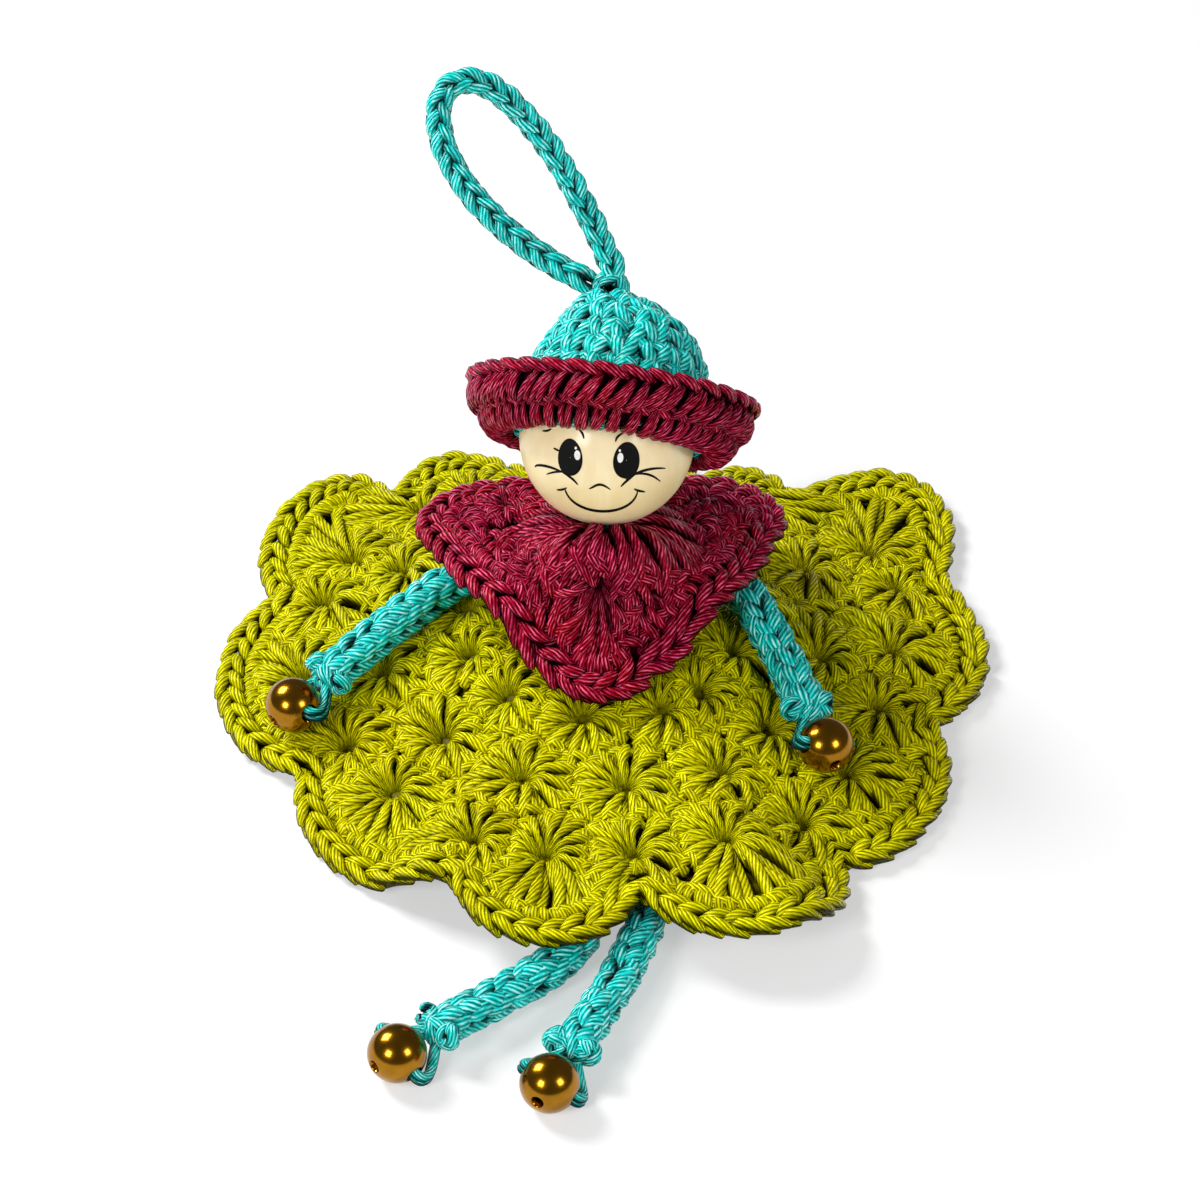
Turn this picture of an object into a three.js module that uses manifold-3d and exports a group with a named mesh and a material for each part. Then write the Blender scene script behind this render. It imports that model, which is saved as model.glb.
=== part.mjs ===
// Crocheted doll keychain, sitting on a table with its round skirt spread out as a low cone.
// Millimetres, +Z up. The origin is under the knot at the waist, on the surface the doll sits on.
// The doll faces -Y, so its own right arm and leg lie on the -X side.
import * as THREE from 'three';
import { mergeVertices } from 'three/addons/utils/BufferGeometryUtils.js';
import Module from 'manifold-3d';

const wasm = await Module();
wasm.setup();
const { degToRad, smoothstep } = THREE.MathUtils;

// Clearance between pieces that touch on the real doll.
const CLEARANCE = 0.3;

// Wooden bead head and the cord that carries it.
const HEAD_DIAMETER = 25;
const HEAD_BORE = 5;
const HEAD_BACK = 5.6;
const HEAD_SIDE = 0.7;
const NECK_CORD_DIAMETER = 3.6;
const CORD_REACH_IN_HEAD = 11;

// Knot under the skirt that the cord, the legs and the skirt are tied to.
const KNOT_DIAMETER = 12.4;
const KNOT_SEAT_DIAMETER = 10.6;
const KNOT_TOP_DIAMETER = 6.8;

// Skirt: a round of shells with a scalloped edge, lifted in front where the legs come out.
const SKIRT_THICKNESS = 3;
const SKIRT_RISE = 15.5;
const SKIRT_FLARE = 1.25;
const SKIRT_FOOT_RADIUS = 54;
const SCALLOP_REACH = 57.5;
const SCALLOP_VALLEY = 50.5;
const FRONT_LIFT_HALF_DEG = 24;
const FRONT_LIFT_RAMP_DEG = 14;
const FRONT_LIFT_BLEND = 1.5;
const HEM_ROUNDING = 0.7;

// The scallops, which are uneven: the angle of the valley that each starts from, how much further out than the plain
// ones that valley and the crest after it lie, and how far the crest leans to the next valley (1 is upright).
const SCALLOPS = [
  { from: -152.5, valley: -1, crest: -1.3, lean: 1.4 },
  { from: -112.5, valley: 4.5, crest: 6.5, lean: 1.1 },
  { from: -84.5, valley: 4, crest: 7.7, lean: 0.95 },
  { from: -50.5, valley: 2.5, crest: -0.5, lean: 0.7 },
  { from: -14.8, valley: -0.5, crest: 0.3, lean: 1.4 },
  { from: 22, valley: 6, crest: 9.8, lean: 1.3 },
  { from: 54.3, valley: 0.4, crest: -4, lean: 0.85 },
  { from: 71, valley: -4, crest: -0.5, lean: 1 },
  { from: 103, valley: -4.5, crest: -0.2, lean: 1.3 },
  { from: 127.5, valley: 2.5, crest: 5.7, lean: 0.55 },
  { from: 162, valley: 1.5, crest: -0.6, lean: 0.9 },
];

// Arms and legs: crocheted cords that swell in the middle and end in a bead.
const ARM_DIAMETER = 6.4;
const ARM_ROOT_DIAMETER = 4.2;
const ARM_ROOM = 7.6;
const LEG_DIAMETER = 6;
const LEG_ROOT_DIAMETER = 5.4;
const LIMB_END_DIAMETER = 4.6;
const LIMB_SIDES = 10;
const LIMB_RINGS = 22;

// Glossy beads at the ends of the limbs, each on a strap of yarn through its bore.
const BEAD_DIAMETER = 8;
const BEAD_BORE = 2.5;
const BEAD_CROSS_BORE = 1.7;
const STRAP_DIAMETER = 1.4;
const STRAP_TURN = 0.85;
const HAND_LIFT = 0.7;

// Where the limbs end: how far each bead lies to the side of the doll's middle and in front of it.
const RIGHT_HAND_SIDE = -44.3;
const RIGHT_HAND_FRONT = -15.4;
const LEFT_HAND_SIDE = 31.6;
const LEFT_HAND_FRONT = -25.6;
const RIGHT_FOOT_SIDE = -27.1;
const RIGHT_FOOT_FRONT = -79.3;
const LEFT_FOOT_SIDE = -6.9;
const LEFT_FOOT_FRONT = -84.7;

// Poncho: a three-cornered shawl with round corners and a gathered collar.
const PONCHO_THICKNESS = 3.2;
const PONCHO_HOLE = 5.4;
const PONCHO_CORNER_RADIUS = 9;
const PONCHO_FRONT_CORNER = new THREE.Vector2(-0.3, -11.7);
const PONCHO_LEFT_CORNER = new THREE.Vector2(18, 14.8);
const PONCHO_RIGHT_CORNER = new THREE.Vector2(-18, 13.5);
const PONCHO_LEFT_BULGE = 3.4;
const PONCHO_RIGHT_BULGE = 2.2;
const PONCHO_BACK_BULGE = 0.5;
const COLLAR_RADIUS = 6.8;
const COLLAR_SLOPE = 6.5;
const COLLAR_FRONT_RISE = 4.4;
const PONCHO_DROP_FROM = 6;
const PONCHO_DROP_TO = 20;

// Hat: a domed crown over the head and a brim that flares up and out.
const HAT_TILT_DEG = 47.3;
const HAT_HEADING_DEG = 80.2;
const CROWN_DIAMETER = 28.2;
const CROWN_HEIGHT = 21.4;
const CROWN_BASE = -0.6;
const CROWN_WALL = 2.6;
const CROWN_PULL = 2.2;
const CROWN_PULL_FROM = 13.5;
const CROWN_HOLE = 5.6;
const BRIM_DIAMETER = 40.5;
const BRIM_RISE = 8.4;
const BRIM_DROP = 1.4;
const BRIM_THICKNESS = 2.8;

// Hanging loop: a crocheted cord that leaves the top of the hat and comes back to it.
const LOOP_CORD_DIAMETER = 4.1;
const LOOP_KNOT_DIAMETER = 5.4;
const LOOP_LENGTH = 36.8;
const LOOP_WIDTH = 12.5;
const LOOP_BOW = -0.8;
const LOOP_ROOT_WIDTH = 3.4;
const LOOP_HEADING_DEG = 142.5;
const LOOP_RISE_DEG = 38.5;
const LOOP_FACING_DEG = 42;

const COLOURS = { skirt: 0x9f9a02, limbs: 0x25a39d, shawl: 0x6d1524, bead: 0x634608, wood: 0xeed7a0 };

const doll = new THREE.Group();
const UP = new THREE.Vector3(0, 0, 1);
const FRONT_DEG = -90;

/** Merges shared corners, drops empty triangles and turns every face outwards. */
function closedBody(geometry) {
  const bare = geometry.clone();
  bare.deleteAttribute('normal');
  bare.deleteAttribute('uv');
  const merged = mergeVertices(bare, 1e-4);
  const corner = merged.attributes.position;
  const all = Array.from(merged.index.array);
  const a = new THREE.Vector3();
  const b = new THREE.Vector3();
  const c = new THREE.Vector3();
  let faces = [];
  let volume = 0;
  for (let i = 0; i < all.length; i += 3) {
    const [p, q, r] = all.slice(i, i + 3);
    if (p === q || q === r || r === p) continue;
    faces.push([p, q, r]);
    a.fromBufferAttribute(corner, p);
    b.fromBufferAttribute(corner, q);
    c.fromBufferAttribute(corner, r);
    volume += a.dot(b.cross(c));
  }
  if (volume < 0) faces = faces.map(([p, q, r]) => [p, r, q]);
  merged.setIndex(faces.flat());
  merged.computeVertexNormals();
  return merged;
}

/** Adds a named piece to a group. */
function addPiece(parent, name, geometry, color, roughness = 0.75, metalness = 0) {
  const material = new THREE.MeshStandardMaterial({ color, roughness, metalness });
  const mesh = new THREE.Mesh(closedBody(geometry), material);
  mesh.name = name;
  parent.add(mesh);
  return mesh;
}

/** A group whose local X, Y and Z lie along three given directions, with its origin at a point. */
function placedGroup(origin, x, y, z) {
  const group = new THREE.Group();
  group.quaternion.setFromRotationMatrix(new THREE.Matrix4().makeBasis(x, y, z));
  group.position.copy(origin);
  doll.add(group);
  return group;
}

/** Joins a row of sections, each a closed ring of points; the row closes on itself or is capped. */
function loft(sections, closed) {
  const size = sections[0].length;
  const points = sections.flat();
  const faces = [];
  const spans = closed ? sections.length : sections.length - 1;
  for (let i = 0; i < spans; i += 1) {
    const here = i * size;
    const next = ((i + 1) % sections.length) * size;
    for (let k = 0; k < size; k += 1) {
      const after = (k + 1) % size;
      faces.push(here + k, next + k, next + after);
      faces.push(here + k, next + after, here + after);
    }
  }
  if (!closed) {
    const last = (sections.length - 1) * size;
    for (let k = 1; k < size - 1; k += 1) {
      faces.push(0, k, k + 1);
      faces.push(last, last + k + 1, last + k);
    }
  }
  const geometry = new THREE.BufferGeometry().setFromPoints(points);
  geometry.setIndex(faces);
  return geometry;
}

/** A round tube along a curve; radiusAt gives its radius from 0 at the start to 1 at the end. */
function tube(curve, radiusAt, sides, rings, closed = false) {
  const frames = curve.computeFrenetFrames(rings, closed);
  const count = closed ? rings : rings + 1;
  const sections = Array.from({ length: count }, (_, i) => {
    const centre = curve.getPointAt(i / rings);
    const radius = radiusAt(i / rings);
    return Array.from({ length: sides }, (_unused, k) => {
      const turn = (2 * Math.PI * k) / sides;
      return centre
        .clone()
        .addScaledVector(frames.normals[i], radius * Math.cos(turn))
        .addScaledVector(frames.binormals[i], radius * Math.sin(turn));
    });
  });
  return loft(sections, closed);
}

/** Turns a closed body into a solid that can be joined and cut. */
function toSolid(geometry) {
  const body = closedBody(geometry);
  const vertProperties = new Float32Array(body.attributes.position.array);
  const triVerts = new Uint32Array(body.index.array);
  return new wasm.Manifold(new wasm.Mesh({ numProp: 3, vertProperties, triVerts }));
}

/** Turns a solid back into a geometry. */
function fromSolid(solid) {
  const mesh = solid.getMesh();
  const geometry = new THREE.BufferGeometry();
  geometry.setAttribute('position', new THREE.Float32BufferAttribute(mesh.vertProperties, 3));
  geometry.setIndex(Array.from(mesh.triVerts));
  return geometry;
}

/** A solid of revolution about the local Y axis from [radius, height] pairs. */
function revolve(profile, segments) {
  return new THREE.LatheGeometry(profile.map(([r, y]) => new THREE.Vector2(r, y)), segments);
}

// Height of the skirt. Its underside falls from the waist to the table and flattens at the hem.
// In front it stays a leg's thickness above the table.
const LEG_ROOM = LEG_DIAMETER + 2 * CLEARANCE;

function frontLift(angleDeg) {
  const away = Math.abs(THREE.MathUtils.euclideanModulo(angleDeg - FRONT_DEG + 180, 360) - 180);
  return 1 - smoothstep(away, FRONT_LIFT_HALF_DEG, FRONT_LIFT_HALF_DEG + FRONT_LIFT_RAMP_DEG);
}

function skirtUnder(r, angleDeg) {
  const fall = SKIRT_RISE * Math.max(0, 1 - r / SKIRT_FOOT_RADIUS) ** SKIRT_FLARE;
  const lifted = 0.5 * (fall + LEG_ROOM + Math.hypot(fall - LEG_ROOM, FRONT_LIFT_BLEND));
  return THREE.MathUtils.lerp(fall, lifted, frontLift(angleDeg));
}

function skirtTop(r, angleDeg) {
  return skirtUnder(r, angleDeg) + SKIRT_THICKNESS;
}

function polar(r, angleDeg, z) {
  const angle = degToRad(angleDeg);
  return new THREE.Vector3(r * Math.cos(angle), r * Math.sin(angle), z);
}

function angleOf(x, y) {
  return THREE.MathUtils.radToDeg(Math.atan2(y, x));
}

// Skirt.
const skirtHole = NECK_CORD_DIAMETER / 2 + CLEARANCE;

/** Angle and reach of the hem in one scallop, from 0 at its first valley to 1 at the next. */
function hemPoint(scallop, share) {
  const here = SCALLOPS[scallop];
  const next = SCALLOPS[(scallop + 1) % SCALLOPS.length];
  const width = THREE.MathUtils.euclideanModulo(next.from - here.from, 360);
  const across = 2 * share ** here.lean - 1;
  const arch = Math.max(0, 1 - across * across) ** 0.8;
  const valley = SCALLOP_VALLEY + THREE.MathUtils.lerp(here.valley, next.valley, share);
  const edge = THREE.MathUtils.lerp(valley, SCALLOP_REACH + here.crest, arch);
  return { angle: here.from + width * share, edge };
}

/** One radial slice of a cloth ring: out along its underside, round the hem, back along its top. */
function slice(angleDeg, hole, edge, under, top, stations) {
  const radii = Array.from({ length: stations + 1 }, (_, i) => hole + ((edge - hole) * i) / stations);
  const bottom = radii.map((r) => polar(r, angleDeg, under(r, angleDeg)));
  const upper = radii.map((r) => polar(r, angleDeg, top(r, angleDeg))).reverse();
  const middle = 0.5 * (under(edge, angleDeg) + top(edge, angleDeg));
  return [...bottom, polar(edge + HEM_ROUNDING, angleDeg, middle), ...upper];
}

const SCALLOP_SLICES = 9;
const SKIRT_STATIONS = 5;
const skirtSlices = Array.from({ length: SCALLOPS.length * SCALLOP_SLICES }, (_, i) => {
  const { angle, edge } = hemPoint(Math.floor(i / SCALLOP_SLICES), (i % SCALLOP_SLICES) / SCALLOP_SLICES);
  return slice(angle, skirtHole, edge, skirtUnder, skirtTop, SKIRT_STATIONS);
});
addPiece(doll, 'skirt', loft(skirtSlices, true), COLOURS.skirt);

// Waist knot, with the flat face that the doll sits on.
const knotTop = skirtUnder(KNOT_TOP_DIAMETER / 2, 0) - CLEARANCE;
const knotProfile = [
  [0, 0],
  [KNOT_SEAT_DIAMETER / 2, 0],
  [KNOT_DIAMETER / 2, 0.2 * knotTop],
  [KNOT_DIAMETER / 2, 0.45 * knotTop],
  [0.5 * (KNOT_DIAMETER + KNOT_TOP_DIAMETER) / 2, 0.8 * knotTop],
  [KNOT_TOP_DIAMETER / 2, knotTop],
  [0, knotTop],
];
const knot = addPiece(doll, 'waist_knot', revolve(knotProfile, 24), COLOURS.limbs);
knot.rotation.x = Math.PI / 2;

// Poncho. Its underside clears the arms, and in front it drops onto the skirt.
const ponchoHole = PONCHO_HOLE / 2;

function ponchoUnder(r, angleDeg) {
  const forward = smoothstep(-Math.sin(degToRad(angleDeg)), 0.45, 0.9);
  const drop = (ARM_ROOM - 2 * CLEARANCE) * forward * smoothstep(r, PONCHO_DROP_FROM, PONCHO_DROP_TO);
  return skirtTop(r, angleDeg) + ARM_ROOM - drop;
}

// The head rests on the collar behind the neck, and the front of the collar rises to the chin.
const collarTop = ponchoUnder(ponchoHole, 0) + PONCHO_THICKNESS;
const headRadius = HEAD_DIAMETER / 2;
const headCentre = new THREE.Vector3(HEAD_SIDE, HEAD_BACK, collarTop + CLEARANCE + headRadius);

function chinHeight(r, angleDeg) {
  const { x, y } = polar(r, angleDeg, 0);
  const away = Math.hypot(x - headCentre.x, y - headCentre.y);
  return headCentre.z - Math.sqrt(Math.max(0, headRadius ** 2 - away ** 2));
}

function ponchoTop(r, angleDeg) {
  const draped = ponchoUnder(r, angleDeg) + PONCHO_THICKNESS;
  const raised = collarTop + COLLAR_FRONT_RISE * smoothstep(-Math.sin(degToRad(angleDeg)), 0, 1);
  const gathered = 1 - smoothstep(r, COLLAR_RADIUS, COLLAR_RADIUS + COLLAR_SLOPE);
  const drawn = THREE.MathUtils.lerp(draped, raised, gathered);
  return Math.min(drawn, Math.max(collarTop, chinHeight(r, angleDeg) - 2 * CLEARANCE));
}

const SHAWL_CORNER_STEPS = 5;
const SHAWL_SIDE_STEPS = 11;
const SHAWL_STATIONS = 7;

/** Points round a corner of the shawl and along the side after it, which bulges outwards. */
function shawlSide(before, corner, after, bulge) {
  const outwardOf = (from, to) => new THREE.Vector2(to.y - from.y, from.x - to.x).normalize();
  const outward = outwardOf(corner, after);
  const start = outwardOf(before, corner).angle();
  const bend = THREE.MathUtils.euclideanModulo(outward.angle() - start, 2 * Math.PI);
  const round = Array.from({ length: SHAWL_CORNER_STEPS }, (_, i) => {
    const turn = start + (bend * i) / SHAWL_CORNER_STEPS;
    return corner.clone().add(new THREE.Vector2(Math.cos(turn), Math.sin(turn)).multiplyScalar(PONCHO_CORNER_RADIUS));
  });
  const side = Array.from({ length: SHAWL_SIDE_STEPS }, (_, i) => {
    const t = i / SHAWL_SIDE_STEPS;
    const reach = PONCHO_CORNER_RADIUS + bulge * 4 * t * (1 - t);
    return corner.clone().lerp(after, t).addScaledVector(outward, reach);
  });
  return [...round, ...side];
}

const shawlOutline = [
  ...shawlSide(PONCHO_RIGHT_CORNER, PONCHO_FRONT_CORNER, PONCHO_LEFT_CORNER, PONCHO_LEFT_BULGE),
  ...shawlSide(PONCHO_FRONT_CORNER, PONCHO_LEFT_CORNER, PONCHO_RIGHT_CORNER, PONCHO_BACK_BULGE),
  ...shawlSide(PONCHO_LEFT_CORNER, PONCHO_RIGHT_CORNER, PONCHO_FRONT_CORNER, PONCHO_RIGHT_BULGE),
];
const shawlSlices = shawlOutline.map((p) => {
  const angle = angleOf(p.x, p.y);
  return slice(angle, ponchoHole, p.length(), ponchoUnder, ponchoTop, SHAWL_STATIONS);
});
addPiece(doll, 'poncho', loft(shawlSlices, true), COLOURS.shawl);

// Head. Its bore leans back with the cord that comes up through the neck.
const neckBend = new THREE.Vector3(0, 0, collarTop - 1);
const boreAxis = headCentre.clone().sub(neckBend).normalize();
const boreSide = new THREE.Vector3().crossVectors(boreAxis, UP).normalize();
const headGroup = placedGroup(headCentre, boreSide, boreAxis, boreSide.clone().cross(boreAxis));

/** The half outline of a bored ball, closed along its bore. */
function boredBall(radius, bore, steps) {
  const start = Math.asin(bore / radius);
  const arc = Array.from({ length: steps + 1 }, (_, i) => {
    const polarAngle = start + ((Math.PI - 2 * start) * i) / steps;
    return [radius * Math.sin(polarAngle), -radius * Math.cos(polarAngle)];
  });
  return [...arc, arc[0]];
}

addPiece(headGroup, 'head_bead', revolve(boredBall(headRadius, HEAD_BORE / 2, 16), 32), COLOURS.wood, 0.45);

// Neck cord, from the knot up through the skirt, the collar and most of the head's bore.
const neckCurve = new THREE.CatmullRomCurve3([
  new THREE.Vector3(0, 0, knotTop + CLEARANCE),
  new THREE.Vector3(0, 0, 0.5 * (knotTop + neckBend.z)),
  neckBend,
  headCentre.clone().lerp(neckBend, 0.5),
  headCentre,
  headCentre.clone().addScaledVector(boreAxis, CORD_REACH_IN_HEAD),
]);
addPiece(doll, 'neck_cord', tube(neckCurve, () => NECK_CORD_DIAMETER / 2, 10, 16), COLOURS.limbs);

// Hat. Local Y is the axis of the crown and local X points to the viewer's right.
const hatTilt = degToRad(HAT_TILT_DEG);
const hatAxis = polar(Math.sin(hatTilt), HAT_HEADING_DEG, Math.cos(hatTilt));
const hatRight = new THREE.Vector3().crossVectors(hatAxis, UP).normalize();
const hatBack = new THREE.Vector3().crossVectors(hatRight, hatAxis);
const hatGroup = placedGroup(headCentre, hatRight, hatAxis, hatBack);

const crownRadius = CROWN_DIAMETER / 2;
const skullRadius = headRadius + CLEARANCE;

/** Radius of a dome of given base radius and height, at a height above the head's centre. */
function dome(radius, height, y) {
  const share = THREE.MathUtils.clamp((y - CROWN_BASE) / height, 0, 1);
  return radius * Math.sqrt(1 - share * share);
}

function crownInside(y) {
  const lining = dome(crownRadius - CROWN_WALL, CROWN_HEIGHT - CROWN_WALL, y);
  const skull = Math.sqrt(Math.max(0, skullRadius ** 2 - y * y));
  return Math.max(lining, skull);
}

const holeShare = Math.sqrt(1 - (CROWN_HOLE / CROWN_DIAMETER) ** 2);
const crownLip = CROWN_BASE + CROWN_HEIGHT * holeShare;
const liningLip = crownLip - CROWN_WALL;
const CROWN_STEPS = 8;
const crownProfile = [];
for (let i = 0; i <= CROWN_STEPS; i += 1) {
  const y = CROWN_BASE + (crownLip - CROWN_BASE) * Math.sin((Math.PI / 2) * (i / CROWN_STEPS));
  crownProfile.push([i === CROWN_STEPS ? CROWN_HOLE / 2 : dome(crownRadius, CROWN_HEIGHT, y), y]);
}
for (let i = CROWN_STEPS; i >= 0; i -= 1) {
  const y = CROWN_BASE + (liningLip - CROWN_BASE) * Math.sin((Math.PI / 2) * (i / CROWN_STEPS));
  crownProfile.push([i === CROWN_STEPS ? CROWN_HOLE / 2 : crownInside(y), y]);
}
crownProfile.push(crownProfile[0]);
const crown = revolve(crownProfile, 28);

// The loop draws the top of the crown to one side.
function pullAt(y) {
  const share = Math.max(0, y - CROWN_PULL_FROM) / (crownLip - CROWN_PULL_FROM);
  return -CROWN_PULL * share * share;
}
const crownCorners = crown.attributes.position;
for (let i = 0; i < crownCorners.count; i += 1) {
  crownCorners.setX(i, crownCorners.getX(i) + pullAt(crownCorners.getY(i)));
}
addPiece(hatGroup, 'hat_crown', crown, COLOURS.limbs);

// Brim: a strip that starts under the edge of the crown and flares up to a rounded rim.
const brimSeat = crownRadius + CLEARANCE;
const brimFoot = CROWN_BASE - CLEARANCE;
const brimRadius = BRIM_DIAMETER / 2;
const rimTop = CROWN_BASE - BRIM_DROP + BRIM_RISE;

/** A point of the brim's outer side, from 0 at its foot to 1 at its rim. */
function flare(t) {
  const lean = Math.sin((Math.PI / 2) * t);
  return [THREE.MathUtils.lerp(brimSeat + 0.6, brimRadius, lean), CROWN_BASE - BRIM_DROP + BRIM_RISE * 0.9 * t * t];
}

const skullAtFoot = Math.sqrt(skullRadius ** 2 - (CROWN_BASE - BRIM_DROP) ** 2);
const brimOuter = [0, 0.25, 0.5, 0.75, 1].map(flare);
const rimInner = [brimRadius - 0.45 * BRIM_THICKNESS, rimTop];
const brimInner = [0.75, 0.5, 0.25].map((t) => {
  const [r, y] = flare(t);
  return [Math.max(brimSeat, r - BRIM_THICKNESS * 0.55), y + BRIM_THICKNESS * 0.8];
});
const brimProfile = [
  [skullAtFoot + 0.4, CROWN_BASE - BRIM_DROP],
  ...brimOuter,
  rimInner,
  ...brimInner,
  [brimSeat, brimFoot],
  [skullAtFoot + 0.4, brimFoot],
];
brimProfile.push(brimProfile[0]);
addPiece(hatGroup, 'hat_brim', revolve(brimProfile, 40), COLOURS.shawl);

// Hanging loop. Local Y runs from the knot on the crown to the far end, local X lies across the loop.
const knotSeat = Math.sqrt((LOOP_KNOT_DIAMETER / 2 + CLEARANCE) ** 2 - (CROWN_HOLE / 2) ** 2);
const loopRoot = headCentre
  .clone()
  .addScaledVector(hatAxis, crownLip + knotSeat)
  .addScaledVector(hatRight, -CROWN_PULL);
const loopRise = degToRad(LOOP_RISE_DEG);
const loopAlong = polar(Math.cos(loopRise), LOOP_HEADING_DEG, Math.sin(loopRise));
const loopFacing = polar(Math.cos(degToRad(LOOP_FACING_DEG)), FRONT_DEG, Math.sin(degToRad(LOOP_FACING_DEG)));
const loopAcross = new THREE.Vector3().crossVectors(loopAlong, loopFacing).normalize();
const loopGroup = placedGroup(loopRoot, loopAcross, loopAlong, loopAcross.clone().cross(loopAlong));

// The two strands lie side by side where they meet the crown.
const rootSide = hatRight.clone().applyQuaternion(loopGroup.quaternion.clone().invert());

// The greatest value of 2 sin^2 cos, where the swell of the two strands is LOOP_WIDTH.
const TEARDROP_PEAK = 4 / (3 * Math.sqrt(3));

/** Centre of the loop's cord: it leaves the knot on one side, widens, turns round and comes back on the other. */
class Teardrop extends THREE.Curve {
  constructor(from, to) {
    super();
    this.from = from;
    this.to = to;
  }

  getPoint(t, target = new THREE.Vector3()) {
    const turn = Math.PI * THREE.MathUtils.lerp(this.from, this.to, t);
    const swell = ((LOOP_WIDTH / 2) * Math.sin(2 * turn) * Math.sin(turn)) / TEARDROP_PEAK;
    const bow = LOOP_BOW * Math.sin(2 * turn) ** 2;
    const root = (LOOP_ROOT_WIDTH / 2) * Math.cos(turn) ** 3;
    return target.set(swell + bow, LOOP_LENGTH * Math.sin(turn) ** 2, 0).addScaledVector(rootSide, root);
  }
}

const LOOP_START = 0.085;
const LOOP_LAP = 0.01;
const loopCordRadius = LOOP_CORD_DIAMETER / 2;
const outward = tube(new Teardrop(LOOP_START, 0.5 + LOOP_LAP), () => loopCordRadius, 8, 24);
const homeward = tube(new Teardrop(0.5 - LOOP_LAP, 1 - LOOP_START), () => loopCordRadius, 8, 24);
const loopKnot = new THREE.SphereGeometry(LOOP_KNOT_DIAMETER / 2, 16, 10);
const loopSolid = toSolid(outward).add(toSolid(homeward)).add(toSolid(loopKnot));
addPiece(loopGroup, 'hanging_loop', fromSolid(loopSolid), COLOURS.limbs);

// Limbs. Each is a cord from its root to a bead, which hangs on a strap of yarn through its bore.
const beadRadius = BEAD_DIAMETER / 2;
const strapRadius = STRAP_DIAMETER / 2;
const hug = beadRadius + strapRadius + CLEARANCE;
const standoff = hug + strapRadius + CLEARANCE;

/** Closed path of a strap in the plane of the limb (local X) and the bore (local Y). */
function strapCurve() {
  const halfBore = 0.8 * beadRadius;
  const mouth = beadRadius + STRAP_TURN;
  const side = [
    [0, halfBore],
    [-0.1 * STRAP_TURN, mouth],
    [-STRAP_TURN, mouth + STRAP_TURN],
    [-hug * Math.sin(degToRad(26)) - 0.1 * STRAP_TURN, hug * Math.cos(degToRad(22))],
    [-hug * Math.sin(degToRad(50)), hug * Math.cos(degToRad(50))],
    [-hug * Math.sin(degToRad(70)), hug * Math.cos(degToRad(70))],
  ];
  const there = side.map(([x, y]) => new THREE.Vector3(x, y, 0));
  const back = side.map(([x, y]) => new THREE.Vector3(x, -y, 0)).reverse();
  const points = [new THREE.Vector3(), ...there, new THREE.Vector3(-hug, 0, 0), ...back];
  return new THREE.CatmullRomCurve3(points, true);
}

const ball = toSolid(new THREE.SphereGeometry(beadRadius, 18, 10));
const bore = toSolid(new THREE.CylinderGeometry(BEAD_BORE / 2, BEAD_BORE / 2, 2 * BEAD_DIAMETER, 12));
const crossBore = new THREE.CylinderGeometry(BEAD_CROSS_BORE / 2, BEAD_CROSS_BORE / 2, 2 * BEAD_DIAMETER, 10);
crossBore.rotateZ(Math.PI / 2);
const beadGeometry = fromSolid(ball.subtract(bore).subtract(toSolid(crossBore)));

/** Radius along a limb: it swells from its root, thickens at the wrist or ankle and draws in at its end. */
function limbRadius(rootDiameter, diameter) {
  return (t) => {
    const body = THREE.MathUtils.lerp(rootDiameter, diameter, smoothstep(t, 0, 0.3));
    const drawn = smoothstep(t, 0.94, 1);
    return 0.5 * THREE.MathUtils.lerp(body, LIMB_END_DIAMETER, drawn);
  };
}

/** Adds a limb along its route to the bead, with the bead and its strap. */
function addLimb(name, end, route, bead, diameter, rootDiameter, boreTiltDeg) {
  const direction = bead.clone().sub(route[route.length - 1]).normalize();
  const tip = bead.clone().addScaledVector(direction, -standoff);
  const curve = new THREE.CatmullRomCurve3([...route, tip], false, 'centripetal');
  const radius = limbRadius(rootDiameter, diameter);
  addPiece(doll, `${name}`, tube(curve, radius, LIMB_SIDES, LIMB_RINGS), COLOURS.limbs);
  const level = new THREE.Vector3().crossVectors(direction, UP).normalize();
  const boreAlong = level.applyAxisAngle(direction, degToRad(boreTiltDeg));
  const group = placedGroup(bead, direction, boreAlong, direction.clone().cross(boreAlong));
  const strap = tube(strapCurve(), () => strapRadius, 6, 30, true);
  addPiece(group, `${name}_strap`, strap, COLOURS.limbs);
  addPiece(group, end, beadGeometry, COLOURS.bead, 0.25, 0.6);
}

/** A point of an arm's route over the skirt. */
function onSkirt(x, y, lift) {
  return new THREE.Vector3(x, y, skirtTop(Math.hypot(x, y), angleOf(x, y)) + lift);
}

const armLift = ARM_ROOM / 2;
const handLift = beadRadius + HAND_LIFT;
const rightArm = [[-3.2, 1.2], [-12, 5.2], [-19.5, 6.4], [-27.5, 1.2]].map(([x, y]) => onSkirt(x, y, armLift));
const leftArm = [[3.2, 1.2], [12, 4.4], [19.4, 3.4], [24.2, -5.4]].map(([x, y]) => onSkirt(x, y, armLift));
const rightHand = onSkirt(RIGHT_HAND_SIDE, RIGHT_HAND_FRONT, handLift);
const leftHand = onSkirt(LEFT_HAND_SIDE, LEFT_HAND_FRONT, handLift);
addLimb('right_arm', 'right_hand_bead', rightArm, rightHand, ARM_DIAMETER, ARM_ROOT_DIAMETER, 12);
addLimb('left_arm', 'left_hand_bead', leftArm, leftHand, ARM_DIAMETER, ARM_ROOT_DIAMETER, -25);

const legHeight = LEG_DIAMETER / 2 + CLEARANCE;
const hipY = -(KNOT_DIAMETER / 2 + CLEARANCE);
const hipX = 0.5 * (LEG_ROOT_DIAMETER + 2 * CLEARANCE) + CLEARANCE;

function onTable([x, y]) {
  return new THREE.Vector3(x, y, legHeight);
}

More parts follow.
